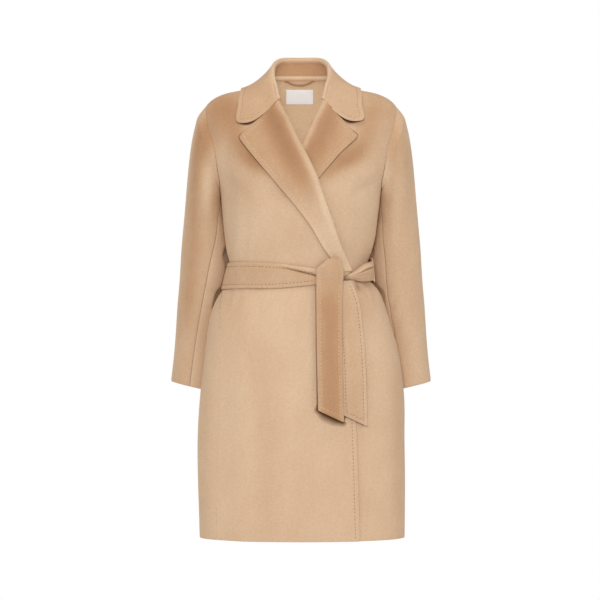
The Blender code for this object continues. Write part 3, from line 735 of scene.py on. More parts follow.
class Finish:
    """A material and the shortcuts that its nodes are made with."""

    def __init__(self, name):
        self.material = bpy.data.materials.new(name)
        self.material.use_nodes = True
        self.tree = self.material.node_tree
        self.shader = self.tree.nodes["Principled BSDF"]

    def feed(self, node, sockets):
        """Give a node's sockets their numbers, colours or other nodes' outputs."""
        for socket, value in sockets.items():
            if isinstance(value, bpy.types.NodeSocket):
                self.tree.links.new(value, node.inputs[socket])
            else:
                node.inputs[socket].default_value = value

    def surface(self, sockets):
        self.feed(self.shader, sockets)

    def node(self, kind, sockets=None, **settings):
        made = self.tree.nodes.new(kind)
        for key, value in settings.items():
            setattr(made, key, value)
        self.feed(made, sockets or {})
        return made

    def attribute(self, name):
        return self.node("ShaderNodeAttribute", attribute_name=name).outputs["Fac"]

    def noise(self, space, scale, size=1.0, detail=2.0, roughness=0.5):
        """Noise on Object or UV coordinates, stretched by the scale."""
        coordinates = self.node("ShaderNodeTexCoord").outputs[space]
        mapping = self.node("ShaderNodeMapping", {"Vector": coordinates, "Scale": scale})
        return self.node("ShaderNodeTexNoise", {
            "Vector": mapping.outputs["Vector"],
            "Scale": size,
            "Detail": detail,
            "Roughness": roughness,
        }).outputs["Fac"]

    def mapped(self, value, low, high, to_low, to_high):
        """The value, with the range from low to high laid from to_low to to_high."""
        return self.node("ShaderNodeMapRange", {
            "Value": value,
            "From Min": low,
            "From Max": high,
            "To Min": to_low,
            "To Max": to_high,
        }).outputs["Result"]

    def math(self, operation, first, second):
        sockets = {0: first, 1: second}
        return self.node("ShaderNodeMath", sockets, operation=operation).outputs["Value"]

    def summed(self, *parts):
        """Sum of outputs, each times its weight."""
        total = self.math("MULTIPLY", *parts[0])
        for output, weight in parts[1:]:
            total = self.math("ADD", total, self.math("MULTIPLY", output, weight))
        return total

    def mix(self, share, first, second, kind="MIX"):
        sockets = {0: share, 6: first, 7: second}
        made = self.node("ShaderNodeMix", data_type="RGBA", blend_type=kind)
        self.feed(made, sockets)
        return made.outputs[2]

    def bump(self, height, strength, distance):
        sockets = {"Height": height, "Strength": strength, "Distance": distance}
        self.surface({"Normal": self.node("ShaderNodeBump", sockets).outputs["Normal"]})


CAMEL_LIGHT = colour(219, 190, 159)
CAMEL_DARK = colour(182, 140, 104)
CAMEL_DEEP = colour(146, 102, 70)
CAMEL_SHADE = colour(84, 43, 12)
# Painted light: the inside of the garment lies in shade, so it is given this lighter colour.
CAMEL_INSIDE_PAINTED_LIGHT = colour(223, 190, 154)
SHADOW_REACH = (0.35, 1.5)      # a shadow is full up to the first and gone at the second


def wool(name, shade=0.0):
    """Brushed wool: a fine nap that lies along the cloth, darker where it turns away."""
    made = Finish(name)
    fibres = made.noise("UV", (1500, 210, 1), detail=3, roughness=0.6)
    fine = made.noise("Object", (1, 1, 1), size=1300, detail=2, roughness=0.7)
    streaks = made.noise("UV", (150, 22, 1), detail=3, roughness=0.55)
    cloudy = made.noise("Object", (1, 1, 0.6), size=19, detail=3, roughness=0.55)
    drift = made.noise("Object", (1, 1, 0.5), size=5, detail=2, roughness=0.5)
    mottle = made.noise("Object", (1, 1, 1), size=210, detail=4, roughness=0.65)

    lay = made.math("ADD", made.attribute("nap"), shade)
    for pattern, reach in ((cloudy, 0.07), (streaks, 0.025), (drift, 0.06)):
        lay = made.math("ADD", lay, made.mapped(pattern, 0.3, 0.7, -reach, reach))
    base = made.mix(made.mapped(lay, 0, 1, 0, 1), CAMEL_LIGHT, CAMEL_DARK)
    base = made.mix(made.mapped(lay, 1, 2, 0, 1), base, CAMEL_DEEP)
    # Painted light: the inside of the garment is mixed towards a lighter colour.
    base = made.mix(made.attribute("inner"), base, CAMEL_INSIDE_PAINTED_LIGHT)
    base = made.mix(made.mapped(made.attribute("shade"), 0, 1, 0, 0.85), base, CAMEL_SHADE)
    nearest = made.attribute(SHADOW_LINES[0])
    for key in SHADOW_LINES[1:]:
        nearest = made.math("MINIMUM", nearest, made.math("ABSOLUTE", made.attribute(key), 0))
    base = made.mix(made.mapped(nearest, *SHADOW_REACH, 0.9, 0), base, CAMEL_SHADE)

    tone = made.mapped(fibres, 0.25, 0.75, 0.9, 1.07)
    tone = made.math("MULTIPLY", tone, made.mapped(fine, 0.25, 0.75, 0.94, 1.05))
    tone = made.math("MULTIPLY", tone, made.mapped(mottle, 0.3, 0.7, 0.94, 1.06))
    grey = made.node("ShaderNodeCombineColor", {"Red": tone, "Green": tone, "Blue": tone})
    made.surface({
        "Base Color": made.mix(1.0, base, grey.outputs["Color"], "MULTIPLY"),
        "Roughness": made.mapped(fibres, 0.2, 0.8, 0.78, 0.95),
        "Specular IOR Level": made.mapped(nearest, *SHADOW_REACH, 0.02, 0.2),
        "Sheen Weight": made.mapped(nearest, *SHADOW_REACH, 0, 0.12),
        "Sheen Roughness": 0.45,
        "Sheen Tint": colour(240, 215, 185),
    })
    made.bump(made.summed((fibres, 0.7), (fine, 0.5), (streaks, 0.6)), 0.35, 0.35 * MM)
    return made.material


def thread(name, tone):
    """Twisted sewing thread with a low shine."""
    made = Finish(name)
    twist = made.noise("Object", (1, 1, 1), size=2600, detail=1)
    darker = (*[0.8 * v for v in tone[:3]], 1)
    made.surface({
        "Base Color": made.mix(made.mapped(twist, 0.3, 0.7, 0, 1), tone, darker),
        "Roughness": 0.6,
    })
    made.bump(twist, 0.3, 0.1 * MM)
    return made.material


def woven_label(name):
    """Bare satin-woven label with fine ribs across it."""
    made = Finish(name)
    ribs = made.node("ShaderNodeTexWave", {
        "Vector": made.node("ShaderNodeTexCoord").outputs["UV"],
        "Scale": 420,
        "Distortion": 0.4,
    }, bands_direction="Y", wave_profile="SIN").outputs["Fac"]
    weave = made.noise("UV", (2600, 1400, 1), detail=2)
    cloudy = made.noise("Object", (1, 1, 1), size=60, detail=2)
    tone = made.summed((ribs, 0.35), (weave, 0.4), (cloudy, 0.3))
    share = made.mapped(tone, 0.3, 0.8, 0, 1)
    made.surface({
        "Base Color": made.mix(share, colour(239, 238, 234), colour(250, 250, 248)),
        "Roughness": 0.5,
        "Sheen Weight": 0.1,
    })
    made.bump(tone, 0.25, 0.15 * MM)
    return made.material


WOOL = wool("camel wool")
WOOL_LAPEL = wool("camel wool, nap turned down", shade=0.1)
BELT_WOOL = wool("camel wool belt")
# Painted shade: this thread is darker to stand in for the shade in the stitches' dimples on light
# cloth.
THREAD_PAINTED_SHADE = thread("edge thread", colour(136, 96, 62))
COLLAR_THREAD = thread("collar thread", colour(168, 126, 90))
# Painted highlight: this thread is lighter to stand in for the light that the stitches catch on
# dark cloth.
THREAD_PAINTED_HIGHLIGHT = thread("light edge thread", colour(232, 196, 156))
LOOP_THREAD = thread("belt loop thread", colour(140, 104, 72))
LABEL_SATIN = woven_label("label satin")
LABEL_THREAD = thread("label thread", colour(214, 208, 198))


# ------------------------------------------------------------------ panels

LAPEL_COVER = 9 * MM        # the front ends this far short of its roll line
CROSSING = (-430 * MM, -385 * MM)    # the front's own edge turns into its roll between these
LOW_EDGE = (-450 * MM, -425 * MM)    # its stitched edge ends between these
STITCHED_BELOW = -432 * MM           # under the belt, where the front's edge stitches start
SEAM_FADE = (120 * MM, 200 * MM)     # down the armhole, where its seam comes to show
NECK_INSIDE = (18.5 * MM, 20 * MM)   # the back's inside shows above this
NECK_LINING = 19 * MM                # above this the back's inside keeps most of its outer colour
LAPEL_SMOOTH = 12 * MM               # from its roll to where a lapel lies flat
LAPEL_ROWS_SHOWN = 84                # rows of a lapel's grid above the belt
EDGE_COLUMN, STITCH_COLUMN = 30, 34  # where its top edge starts to be free, and stitched
TAIL_END_Z = -434 * MM               # from here down the tails slant to their ends

# Creases are in millimetres: x and z of one end, x and z of the other, bow, width, depth.
BACK_CREASES = (
    (-92, -330, -88, -383, 2, 7, -1.6),
    (-41, -318, -44, -381, -1, 9, -1.8),
    (19, -338, 22, -379, 1, 6, -1.3),
    (70, -312, 66, -373, -2, 8, -1.9),
    (-96, -445, -108, -520, 2, 9, -2.0),
    (-38, -445, -36, -502, -2, 7, -1.6),
    (27, -440, 32, -531, 3, 10, -2.1),
    (78, -436, 90, -508, 0, 8, -1.7),
    (-128, -560, -150, -960, 8, 30, -3.0),
    (-22, -600, -18, -975, -6, 36, -2.4),
    (92, -570, 118, -965, -9, 28, -3.2),
    (150, -205, 92, -262, 6, 14, -2.0),
    (-152, -203, -84, -255, -7, 15, -2.2),
    (20, -90, -30, -150, 5, 26, -0.9),
)
FRONT_RIGHT_CREASES = (
    (-122, -280, -129, -386, 3, 9, -2.3),
    (-151, -338, -154, -388, 1, 5, -1.3),
    (-98, -352, -101, -389, -1, 6, -1.0),
    (-60, -360, -58, -388, 1, 6, -0.9),
    (-14, -364, -10, -388, 0, 6, -0.8),
    (-150, -440, -168, -500, 2, 6, -1.5),
    (-127, -440, -140, -482, -1, 6, -1.1),
    (-96, -440, -103, -520, 2, 8, -1.2),
    (-48, -440, -52, -474, 0, 6, -0.8),
    (12, -440, 14, -468, 1, 6, -0.8),
    (-74, -640, -66, -984, 5, 24, -1.6),
    (-168, -560, -186, -930, -5, 26, -1.8),
    (46, -700, 60, -960, 3, 30, -1.3),
    (-150, -215, -118, -262, 5, 12, -1.7),
    (-162, -196, -142, -232, 3, 8, -1.2),
    (-136, -150, -110, -190, -6, 18, -1.0),
)
FRONT_LEFT_CREASES = (
    (8, -296, 30, -330, 2, 9, -1.5),
    (118, -322, 121, -375, -1, 7, -1.4),
    (141, -332, 146, -378, 1, 5, -1.3),
    (88, -340, 90, -376, 1, 6, -0.9),
    (132, -432, 146, -470, 2, 5, -1.4),
    (122, -434, 126, -492, 1, 6, -1.0),
    (152, -430, 170, -490, -1, 6, -1.4),
    (150, -600, 164, -950, 6, 22, -2.0),
    (132, -780, 140, -984, -3, 16, -1.2),
    (150, -212, 112, -258, -5, 12, -1.7),
    (164, -196, 142, -230, -3, 8, -1.2),
    (138, -146, 112, -186, 6, 18, -1.0),
)
# Dark nap, painted shade down both sides of the skirt and along a fold in it, and
# lighter patches where the strength is negative, of which those at the sides below the
# armholes are painted light: x, z, half width, half height, tilt, strength.
FRONT_NAP_SHADE_AND_LIGHT = (
    (-172, -50, 50, 40, 30, 0.8),
    (-140, -96, 26, 60, 12, 0.5),
    (-178, -108, 26, 32, 0, 0.25),
    (166, -108, 26, 32, 0, 0.12),
    (-97, -163, 42, 24, -42, 1.05),
    (-40, -232, 30, 22, -45, 0.25),
    (170, -50, 44, 38, -30, 0.42),
    (142, -100, 24, 60, -12, 0.45),
    (88, -170, 36, 20, 36, 0.75),
    (118, -146, 32, 26, 36, 0.4),
    (56, -196, 22, 16, 40, 0.3),
    (120, -480, 36, 50, 0, 0.18),
    (-140, -470, 30, 50, 0, 0.15),
    (-74, -850, 28, 170, 1, 0.14),
    (-206, -760, 14, 220, 0, 0.05),
    (208, -760, 14, 220, 0, 0.15),
    (80, -560, 40, 120, 0, 0.1),
    (-150, -720, 40, 120, 0, -0.1),
    (20, -620, 60, 120, 0, -0.1),
    (-110, -320, 36, 50, 0, -0.15),
    (-160, -265, 24, 90, 0, -0.12),
    (160, -265, 24, 90, 0, -0.12),
    (-140, -230, 60, 60, 0, 0.12),
)
# Shade under what lies on the fronts: x, z, half width, half height, tilt, strength.
FRONT_SHADE = (
    (84, -424, 9, 7, 0, 0.9),
    (122, -438, 4, 11, 25, 0.5),
    (140, -433, 9, 4, -20, 0.45),
)
# The front tail's edge and the lower ends of both, with the width of their shadow.
# Columns: x, z, width.
TAIL_ENDS = (
    (32, -422, 0.6),
    (32.5, -455, 1.5),
    (33.5, -560, 1.9),
    (35, -640, 2.1),
    (36, -690, 2.6),
    (36.5, -701, 7),
    (50, -707.5, 13.5),
    (74, -719, 13.5),
    (88, -726, 9),
    (92, -713, 1.6),
    (112, -723, 1.2),
    (138, -735.5, 1.4),
    (138, -720, 0.7),
)
# Dark nap high on the sleeves, and painted light beside the underarms where the strength is
# negative: x, z, half width, half height, tilt, strength.
SLEEVE_NAP_AND_LIGHT = (
    (-208, -125, 17, 58, 0, 0.45),
    (201, -128, 17, 55, 0, 0.28),
    (-202, -205, 14, 50, 0, -0.5),
    (180, -205, 16, 50, 0, -0.5),
)
BACK_NAP = (
    (0, -60, 90, 40, 0, 0.25),
    (-60, -220, 60, 80, 20, -0.15),
    (80, -300, 50, 60, -10, 0.15),
    (0, -470, 110, 30, 0, 0.2),
    (-60, -760, 50, 170, 2, -0.15),
    (70, -820, 50, 150, -4, 0.15),
)
# Width of the shadow under an edge: at each x under the belt, at each z under a lapel.
BELT_SHADES = ((-165, 2.4), (-146, 1.3), (-120, 1.6), (-92, 2.3), (-70, 1.5), (-30, 1.7),
               (20, 1.3), (84, 2.0), (130, 1.4))
LAPEL_SHADES = ((-300, 1.3), (-200, 1.6), (-130, 2.3))


def widths_at(where, table):
    """Widths from a table of places and widths, both in millimetres."""
    places, widths = np.array(table).T
    return np.interp(where / MM, places, widths) * MM


def panel_levels():
    """Levels of a panel's rows, close together where the armhole turns."""
    low = np.linspace(0, LEVEL["underarm"], 140)[:-1]
    armhole = armhole_level(np.linspace(0, math.pi, 41))
    shoulder = np.linspace(LEVEL["shoulder point"], NECK, 27)[1:]
    return np.concatenate([low, armhole, shoulder])


def seam_angle(level):
    """How far a panel's edge is from the side: half a seam, and the armhole's width."""
    return armhole_angle(level) + SEAM_HALF / read_body(level)[:, 3]


def make_back():
    level = panel_levels()
    reach = seam_angle(level)
    start = (math.pi / 2 + reach)[:, None]
    end = (3 * math.pi / 2 - reach)[:, None]
    angle = start + (end - start) * spread(76)
    level = level[:, None] + 0 * angle
    points, out = body(angle, level), body_out(angle, level)
    x, z = points[..., 0], points[..., 2]
    seam = np.minimum(distance_to(points, points[:, 0]), distance_to(points, points[:, -1]))
    move = creased(x / MM, z / MM, BACK_CREASES) + seam_dip(seam)
    inside_neck = ease(z, *NECK_INSIDE)
    nap = 0.3 + patches(x, z, BACK_NAP) * (1 - inside_neck) + 0.7 * inside_neck
    past_belt_end = angle > math.radians(360 + BELT[-1][0])
    centre, half = np.moveaxis(read_belt(angle - 2 * math.pi * past_belt_end), -1, 0)
    lines = {"seam": seam / SEAM_WIDTH, "under_belt": (np.abs(z - centre) - half) / BELT_SHADOW}
    piece = sewn("back", points + out * move[..., None], CLOTH, WOOL, nap=nap, lines=lines)
    # Above the neck lining height the back's inside keeps only a fifth of the painted light of
    # the inside.
    for spot, inner in zip(piece.data.vertices, piece.data.attributes["inner"].data):
        if spot.co.z > NECK_LINING:
            inner.value *= 0.2


def read_belt(angle):
    """Middle height and half height of the belt at these angles."""
    table = np.array(BELT, float)
    order = np.argsort(table[:, 0])
    return smooth_course(np.radians(table[order, 0]), table[order, 1:] * MM)(angle)


def belt_line():
    """Lower edge of the belt over the fronts, and the width of its shadow along it."""
    angle = np.radians(np.linspace(-94, 12, 60))
    centre, half = read_belt(angle).T
    band = belt_wall(angle, centre, half, -1)
    turn = smooth_course(range(len(TURN)), np.array(TURN[::-1], float) * MM)
    x, z, half, _ = turn(np.linspace(0.3, len(TURN) - 1, 24)).T
    line = np.concatenate([band, over_front(x, z - half, LAYER)])
    return line, widths_at(line[:, 0], BELT_SHADES), -1


def tail_line():
    """Lower ends of the tails over the fronts, with their shadow."""
    table = np.array(TAIL_ENDS) * MM
    return table[:, [0, 0, 1]], table[:, 2], -1


def lapel_line(side, table):
    """Edge of the lapel on its front, from beside its corner down, with its shadow."""
    points = lapel_grid(side, table)[0]
    top = run(points[:1], 1)[0]
    beside = int(np.searchsorted(top, top[-1] - 12 * MM))
    line = np.concatenate([points[0, beside:], points[1:LAPEL_ROWS_SHOWN, -1]])
    grown = 0.03 + 0.97 * ease(run(line[None], 1)[0], 0, 16 * MM)
    return line, widths_at(line[:, 2], LAPEL_SHADES) * grown, -side


def collar_line(side):
    """Front end of the collar, round its corner and up to the gorge, with its shadow."""
    points = collar_grid()
    if side < 0:
        points = points[:, ::-1]
    line = np.concatenate([points[-1, FRONT_COLUMNS::-1], points[-2:FALL_ROWS[0]:-1, 0]])
    corner = run(points[-1:, :FRONT_COLUMNS + 1], 1)[0, -1]
    reach = run(line[None], 1)[0] - corner
    thick = 27 * MM if side > 0 else 34 * MM      # past the corner, where it is widest
    return line, (0.7 + 7.6 * bell(reach - thick, 19 * MM)) * MM, -side


def make_front(name, side, creases, table):
    """One front, from its edge or roll line to the side seam and the armhole.

    The side is 1 for the over front and -1 for the under front, also for the lapels.
    """
    level = panel_levels()
    height = body(0 * level, level)[:, 2]
    inner = edge_angle(level, side, LAPEL_COVER * ease(height, *CROSSING))[:, None]
    outer = (-side * (math.pi / 2 - seam_angle(level)))[:, None]
    first, last = (inner, outer) if side < 0 else (outer, inner)
    angle = first + (last - first) * spread(68)
    level = level[:, None] + 0 * angle
    points, out = body(angle, level), body_out(angle, level)
    if side > 0:
        points = points + out * lap_lift(points)[..., None]
    x, z = points[..., 0], points[..., 2]
    seam = distance_to(points, points[:, 0 if side > 0 else -1])
    low = ease(-z, *SEAM_FADE)
    lines = {
        "seam": seam / SEAM_WIDTH + 1.3 * (1 - low),
        "under_lapel": shadow_line(points, *lapel_line(side, table)),
        "under_collar": crisp(shadow_line(points, *collar_line(side))),
        "under_belt": shadow_line(points, *belt_line()),
        "under_tail": shadow_line(points, *tail_line()),
    }
    beside_neck = ease(0.16 - np.abs(x), 0, 0.02) * ease(z, -0.06, -0.04)
    move = seam_dip(seam) * (0.15 + 0.85 * (low + 0.5 * beside_neck))
    move = move + creased(x / MM, z / MM, creases)
    edge = from_edge(points, "last column" if side > 0 else "first column")
    move += stitched_edge(edge) * (1 - ease(z, *LOW_EDGE))
    points = points + out * move[..., None]
    sewn(name, points, CLOTH, WOOL, nap=0.3 + patches(x, z, FRONT_NAP_SHADE_AND_LIGHT),
         shade=patches(x, z, FRONT_SHADE), lines=lines)
    if side > 0:
        line, up = inset_line(points, "last column", STITCH_INSET, CLOTH)
        below = line[:, 2] < STITCHED_BELOW
        stitch_rows("front_edge_stitches", [(line[below], up[below])], THREAD_PAINTED_SHADE)


def lapel_grid(side, table):
    """Lapel's wall: round the roll from behind, then flat over its front to the edge."""
    rows = smooth_course(range(len(table)), np.array(table, float) * MM)
    station = np.linspace(0, len(table) - 1, 96)
    roll_z, edge_x, edge_z, dip, puff = rows(station).T[..., None]
    puff = np.maximum(puff, 0)
    roll_x = side * read_edge(roll_z[:, 0])
    width = np.hypot(edge_x - roll_x, edge_z - roll_z)
    radius = ROLL_WIDTH * (1 - 0.7 * ease(station, 6, 9))[:, None]
    turn = np.radians(np.linspace(-90, 90, 13))
    rolled, laid = radius * (1 - np.cos(turn)), radius + (width - radius) * spread(50)[1:]
    reach = np.concatenate([rolled, laid], axis=1)
    across = reach / width
    x = roll_x + (edge_x - roll_x) * across
    z = roll_z + (edge_z - roll_z) * across - dip * np.sin(math.pi * across**0.7)
    tucked = 1 - 0.55 * ease(-roll_z, 0.36, 0.392)
    lift = (LAPEL_LIFT + puff * bell(reach - radius, PUFF_WIDTH)) * tucked
    lift[:, :len(turn)] = (LAPEL_LIFT + puff) / 2 * (1 + np.sin(turn)) * tucked
    target = np.stack([x, z], axis=-1)
    for _ in range(3):
        angle, level = place(x, z)
        points, out = body(angle, level), body_out(angle, level)
        full = lift + (lap_lift(points) if side > 0 else 0)
        points = points + out * full[..., None]
        miss = (target - points[..., [0, 2]]) * (across**2)[..., None]
        x, z = x + miss[..., 0], z + miss[..., 1]
    return points, out, reach, radius, roll_z


def make_lapel(name, side, table):
    points, out, reach, radius, roll_z = lapel_grid(side, table)
    edge = distance_to(points, np.concatenate([points[0, EDGE_COLUMN:], points[1:, -1]]))
    flat = ease(reach, radius, radius + LAPEL_SMOOTH)
    x, z = points[..., 0] / MM, points[..., 2] / MM
    move = stitched_edge(edge) * flat + creased(x, z, LAPEL_CREASES) * flat
    points = points + out * move[..., None]
    outline = np.concatenate([points[0, STITCH_COLUMN:], points[1:-7, -1]])

    down = -roll_z
    upper = 1 - ease(down, 0.1, 0.3)
    darker = 0.7 if side > 0 else 0.45
    nap = 0.5 + 0.2 * upper + darker * upper * bell(reach - 30 * MM, 22 * MM)
    # Painted highlight: the cloth round the roll is lighter, less so lower down, and the lapel is
    # lighter lower down as well.
    rolled = 1 - 0.8 * ease(down, 0.25, 0.35)
    nap = nap - 0.5 * bell(reach - 0.6 * radius, 8 * MM) * rolled - 0.4 * ease(down, 0.18, 0.34)
    nap = nap - 0.06 * bell(edge - 2 * MM, 5 * MM)
    under = 1.6 * shadow_line(points, *collar_line(side))

    grids = (points, out, flat, nap, under)
    grids = [grid[::-1, ::-1] if side > 0 else grid[::-1] for grid in grids]
    points, out, flat, nap, under = grids
    flat = flat[..., None]
    normal = unit(normals_of(points) * (1 - flat) + out * flat)
    sewn(name, points, CLOTH, WOOL_LAPEL,
         nap=nap, lines={"under_collar": under}, normal=normal)
    rows = [stitch_line(points, outline, CLOTH, normal=normal)]
    stitch_rows(name + "_stitches", rows, THREAD_PAINTED_HIGHLIGHT)


LAPEL_CREASES = (
    (-100, -128, -66, -112, 3, 14, -1.0),
    (-86, -150, -62, -176, -3, 18, -0.9),
    (96, -118, 66, -104, -3, 13, -0.9),
)


# ------------------------------------------------------------------ collar

STRIP_DROP = 7 * MM        # how far the collar's cloth comes down inside its fold
FRONT_COLUMNS = 12         # columns of the collar's grid at one front end
FALL_ROWS = (22, 30)       # rows of it where its fall begins
EDGE_ROW, STITCH_ROW = 40, 46        # rows where its front ends start, and are stitched
RIDGE_HEIGHT = 5.5 * MM    # seam inside the stand, above the neck seam
GROOVE_HEIGHT = 4.6 * MM   # and a groove above the seam


def collar_rows(stations):
    """Columns of the collar's table at stations from -8 to 8, in metres and radians."""
    half = np.array(COLLAR, float)
    half[:, [1, 2, 3, 5, 6, 7]] *= MM
    half[:, [0, 4, 8]] = np.radians(half[:, [0, 4, 8]])
    mirror = half[:0:-1].copy()
    mirror[:, [0, 4]] = 2 * math.pi - mirror[:, [0, 4]]
    mirror[:, [1, 8]] *= -1
    half[:, 5] -= np.array(COLLAR_SHORTER) * MM
    count = len(COLLAR) - 1
    return smooth_course(range(-count, count + 1), np.concatenate([mirror, half]))(stations)


def collar_frame(stations):
    """Foot and fold of the collar, and its directions up the stand and outwards."""
    row = collar_rows(stations)
    foot = body(row[:, 0], np.full(len(row), NECK))
    fold = row[:, 1:4]
    up = unit(fold - foot)
    along = collar_rows(stations + 0.05)[:, 1:4] - collar_rows(stations - 0.05)[:, 1:4]
    out = unit(np.cross(up, along))
    return row, foot, fold, up, out


def collar_grid():
    """Collar's wall: up inside its fold, over it, and down to its edge on the shoulders."""
    count = len(COLLAR) - 1
    stations = np.linspace(-count, count, 190)
    row, _, fold, up, out = collar_frame(stations)
    roll, drop = row[:, 6:7], row[:, 7:8]
    behind = 1 - ease(np.abs(stations), 4.8, 6.6)[:, None]
    low = np.linspace(1, 0, 7)[:-1][:, None, None]
    hang = low * STRIP_DROP * behind
    inner = fold - out * roll - up * drop - up * hang
    inner = inner + out * (0.9 * roll * (low**2) * behind)
    inner = inner - out * 1.2 * MM * np.sin(math.pi * low) * behind
    turn = np.linspace(0, math.pi, 13)[:, None, None]
    centre = fold - up * drop
    height = drop + (3 * MM) * (1 - behind)
    arc = centre - out * roll * np.cos(turn) + up * height * np.sin(turn)
    outside = fold + out * roll - up * drop
    across = (spread(56, 0.6) ** 1.15)[:, None]
    swing = (1 - (1 - across) ** 2.2) * (1 - across**9)
    angle = row[:, 0] + (row[:, 4] - row[:, 0]) * across - row[:, 8] * swing
    level = NECK - row[:, 5] * across
    base = body(angle, level)
    base = base + body_out(angle, level) * (COLLAR_LIFT + lap_lift(base))[..., None]
    rise = outside - base[:1]
    fall = base + rise * ((1 - across) ** COLLAR_FALL)[..., None]
    points = np.concatenate([inner, arc, fall[1:]], axis=0)
    return rounded_ends(points, COLLAR_CORNER)


def make_collar():
    points = collar_grid()
    normal = normals_of(points)
    outline = [points[EDGE_ROW:, 0], points[-1], points[EDGE_ROW:, -1][::-1]]
    edge = distance_to(points, np.concatenate(outline))
    rows_in = np.arange(len(points))[:, None]
    flat = ease(rows_in, *FALL_ROWS)
    x, y = points[..., 0] / MM, points[..., 1] / MM
    move = stitched_edge(edge) * flat + creased(x, y, COLLAR_CREASES) * flat
    points = points + normal * move[..., None]
    # Painted highlight: the top of the fold, where the light falls, is lighter.
    nap = 0.52 - 0.3 * bell(rows_in - 12, 8) + 0.16 * ease(-points[..., 0], -0.02, 0.06) * flat
    nap = nap - 0.06 * bell(edge - 2 * MM, 5 * MM)
    sewn("collar", points, CLOTH, WOOL, nap=nap)
    right, left = points[STITCH_ROW:-1, 0], points[STITCH_ROW:-1, -1][::-1]
    outline = np.concatenate([right, points[-1], left])
    stitch_rows("collar_stitches", [stitch_line(points, outline, CLOTH)], COLLAR_THREAD)


# Creases of the collar's fall, seen from above: x and y instead of x and z.
COLLAR_CREASES = (
    (-88, -62, -104, -30, 4, 12, -0.8),
    (92, -58, 106, -24, -4, 12, -0.8),
    (-96, 22, -60, 74, 6, 16, -0.9),
    (88, 30, 50, 82, -6, 16, -0.9),
)


def make_stand():
    """Stand of the collar, with the ridge of a seam inside it."""
    row, foot, fold, up, out = collar_frame(np.linspace(-STAND_END, STAND_END, 150))
    low = foot + up * (CLOTH / 2)
    high = fold - out * row[:, 6:7] * 0.15 - up * (row[:, 7:8] + 3 * MM)
    share = np.linspace(0, 1, 40)[:, None, None]
    points = low + (high - low) * share
    height = np.linalg.norm(points - points[:1], axis=-1) - RIDGE_HEIGHT
    ridge = bell(height, 3 * MM)
    groove = bell(height - GROOVE_HEIGHT, 1.6 * MM)
    bow = np.sin(math.pi * share[..., 0]) * 1.5 * MM
    points = points - out * (1.6 * MM * ridge - 0.7 * MM * groove - bow)[..., None]
    # Painted highlight: the ridge of the seam is lighter.
    nap = 0.65 + 0.35 * ease(height, 1 * MM, 6 * MM) - 0.6 * ridge
    piece = sewn("collar_stand", points[::-1], CLOTH, WOOL, nap=nap[::-1])
    # The stand gets none of the painted light of the inside.
    outside = np.zeros(len(piece.data.vertices), np.float32)
    piece.data.attributes["inner"].data.foreach_set("value", outside)


# ------------------------------------------------------------------ sleeves

SLEEVE_SEAM = 0.4 / 50       # half the width of a sleeve's seam, as a turn
SLEEVE_SHADOW = 1.1 * MM
ARMHOLE_RADIUS = 90 * MM
ARMHOLE_GAP = 0.2 * MM
UNDERARM_GAP = 1.4 * MM
BELOW_UNDERARM = (222 * MM, 236 * MM)    # down here a sleeve comes to be held clear of the body
AROUND = 0.96                # millimetres round a sleeve for each degree of its turn
DARK_STREAK = {-1: 0.58, 1: 0.2}     # nap turned dark down the front of each sleeve
# Sleeve creases, on the cloth: millimetres round it from the underarm, and down it.
# The front is on the side of larger values up to half the way round.
SLEEVE_CREASES = {
    -1: (
        (20, -24, 74, -62, 6, 10, -1.8),
        (28, -50, 88, -112, 5, 13, -1.6),
        (30, -250, 92, -232, 4, 9, -1.6),
        (24, -282, 80, -268, -4, 8, -1.4),
        (40, -322, 96, -300, 5, 11, -1.2),
        (118, -90, 126, -420, 6, 20, -1.0),
        (250, -40, 300, -130, -6, 16, -1.4),
        (270, -230, 318, -262, 5, 11, -1.5),
        (262, -290, 312, -300, -4, 10, -1.3),
    ),
    1: (
        (22, -22, 78, -70, 6, 10, -1.8),
        (30, -56, 82, -122, 5, 13, -1.5),
        (28, -244, 86, -222, 4, 9, -1.6),
        (26, -278, 84, -262, -4, 8, -1.3),
        (38, -330, 90, -312, 4, 10, -1.2),
        (122, -110, 118, -400, -6, 20, -1.0),
        (252, -46, 302, -124, -6, 16, -1.4),
        (268, -226, 320, -256, 5, 11, -1.5),
        (258, -296, 316, -306, -4, 10, -1.3),
    ),
}


def armhole_corner(turn, side, inset):
    """Place on the armhole's edge, drawn in towards the middle by the inset's share."""
    level = armhole_level(turn)
    middle = armhole_level(math.pi / 2)
    angle = side * (math.pi / 2 - ARMHOLE_WIDTH * np.sin(turn) * (1 - inset))
    level = middle + (level - middle) * (1 - inset)
    return body(angle, level), body_out(angle, level)


def clear_of_body(points, side):
    """Push a sleeve's points out sideways until they are clear of the body."""
    level = np.interp(points[..., 2], BODY_ROWS[:, 0], LEVELS)
    row = read_body(level)
    half = row[..., 3] if side < 0 else row[..., 4]
    front_y, back_y, centre = np.moveaxis(row[..., 5:8], -1, 0)
    y, z = points[..., 1], points[..., 2]
    clear = SLEEVE_CLEAR + BELT_CLEAR * ease(z, *BELT_ZONE[:2]) * (1 - ease(z, *BELT_ZONE[2:]))
    depth = np.where(y < centre, centre - front_y, back_y - centre) + clear
    share = np.clip(np.abs(y - centre) / depth, 0, 1)
    side_wall = (half + clear) * (1 - share**ROUNDNESS) ** (1 / ROUNDNESS)
    reach = side * points[..., 0]
    short = np.maximum(side_wall - reach, 0) * ease(-z, *BELOW_UNDERARM)
    points[..., 0] = side * (reach + short)
    return points


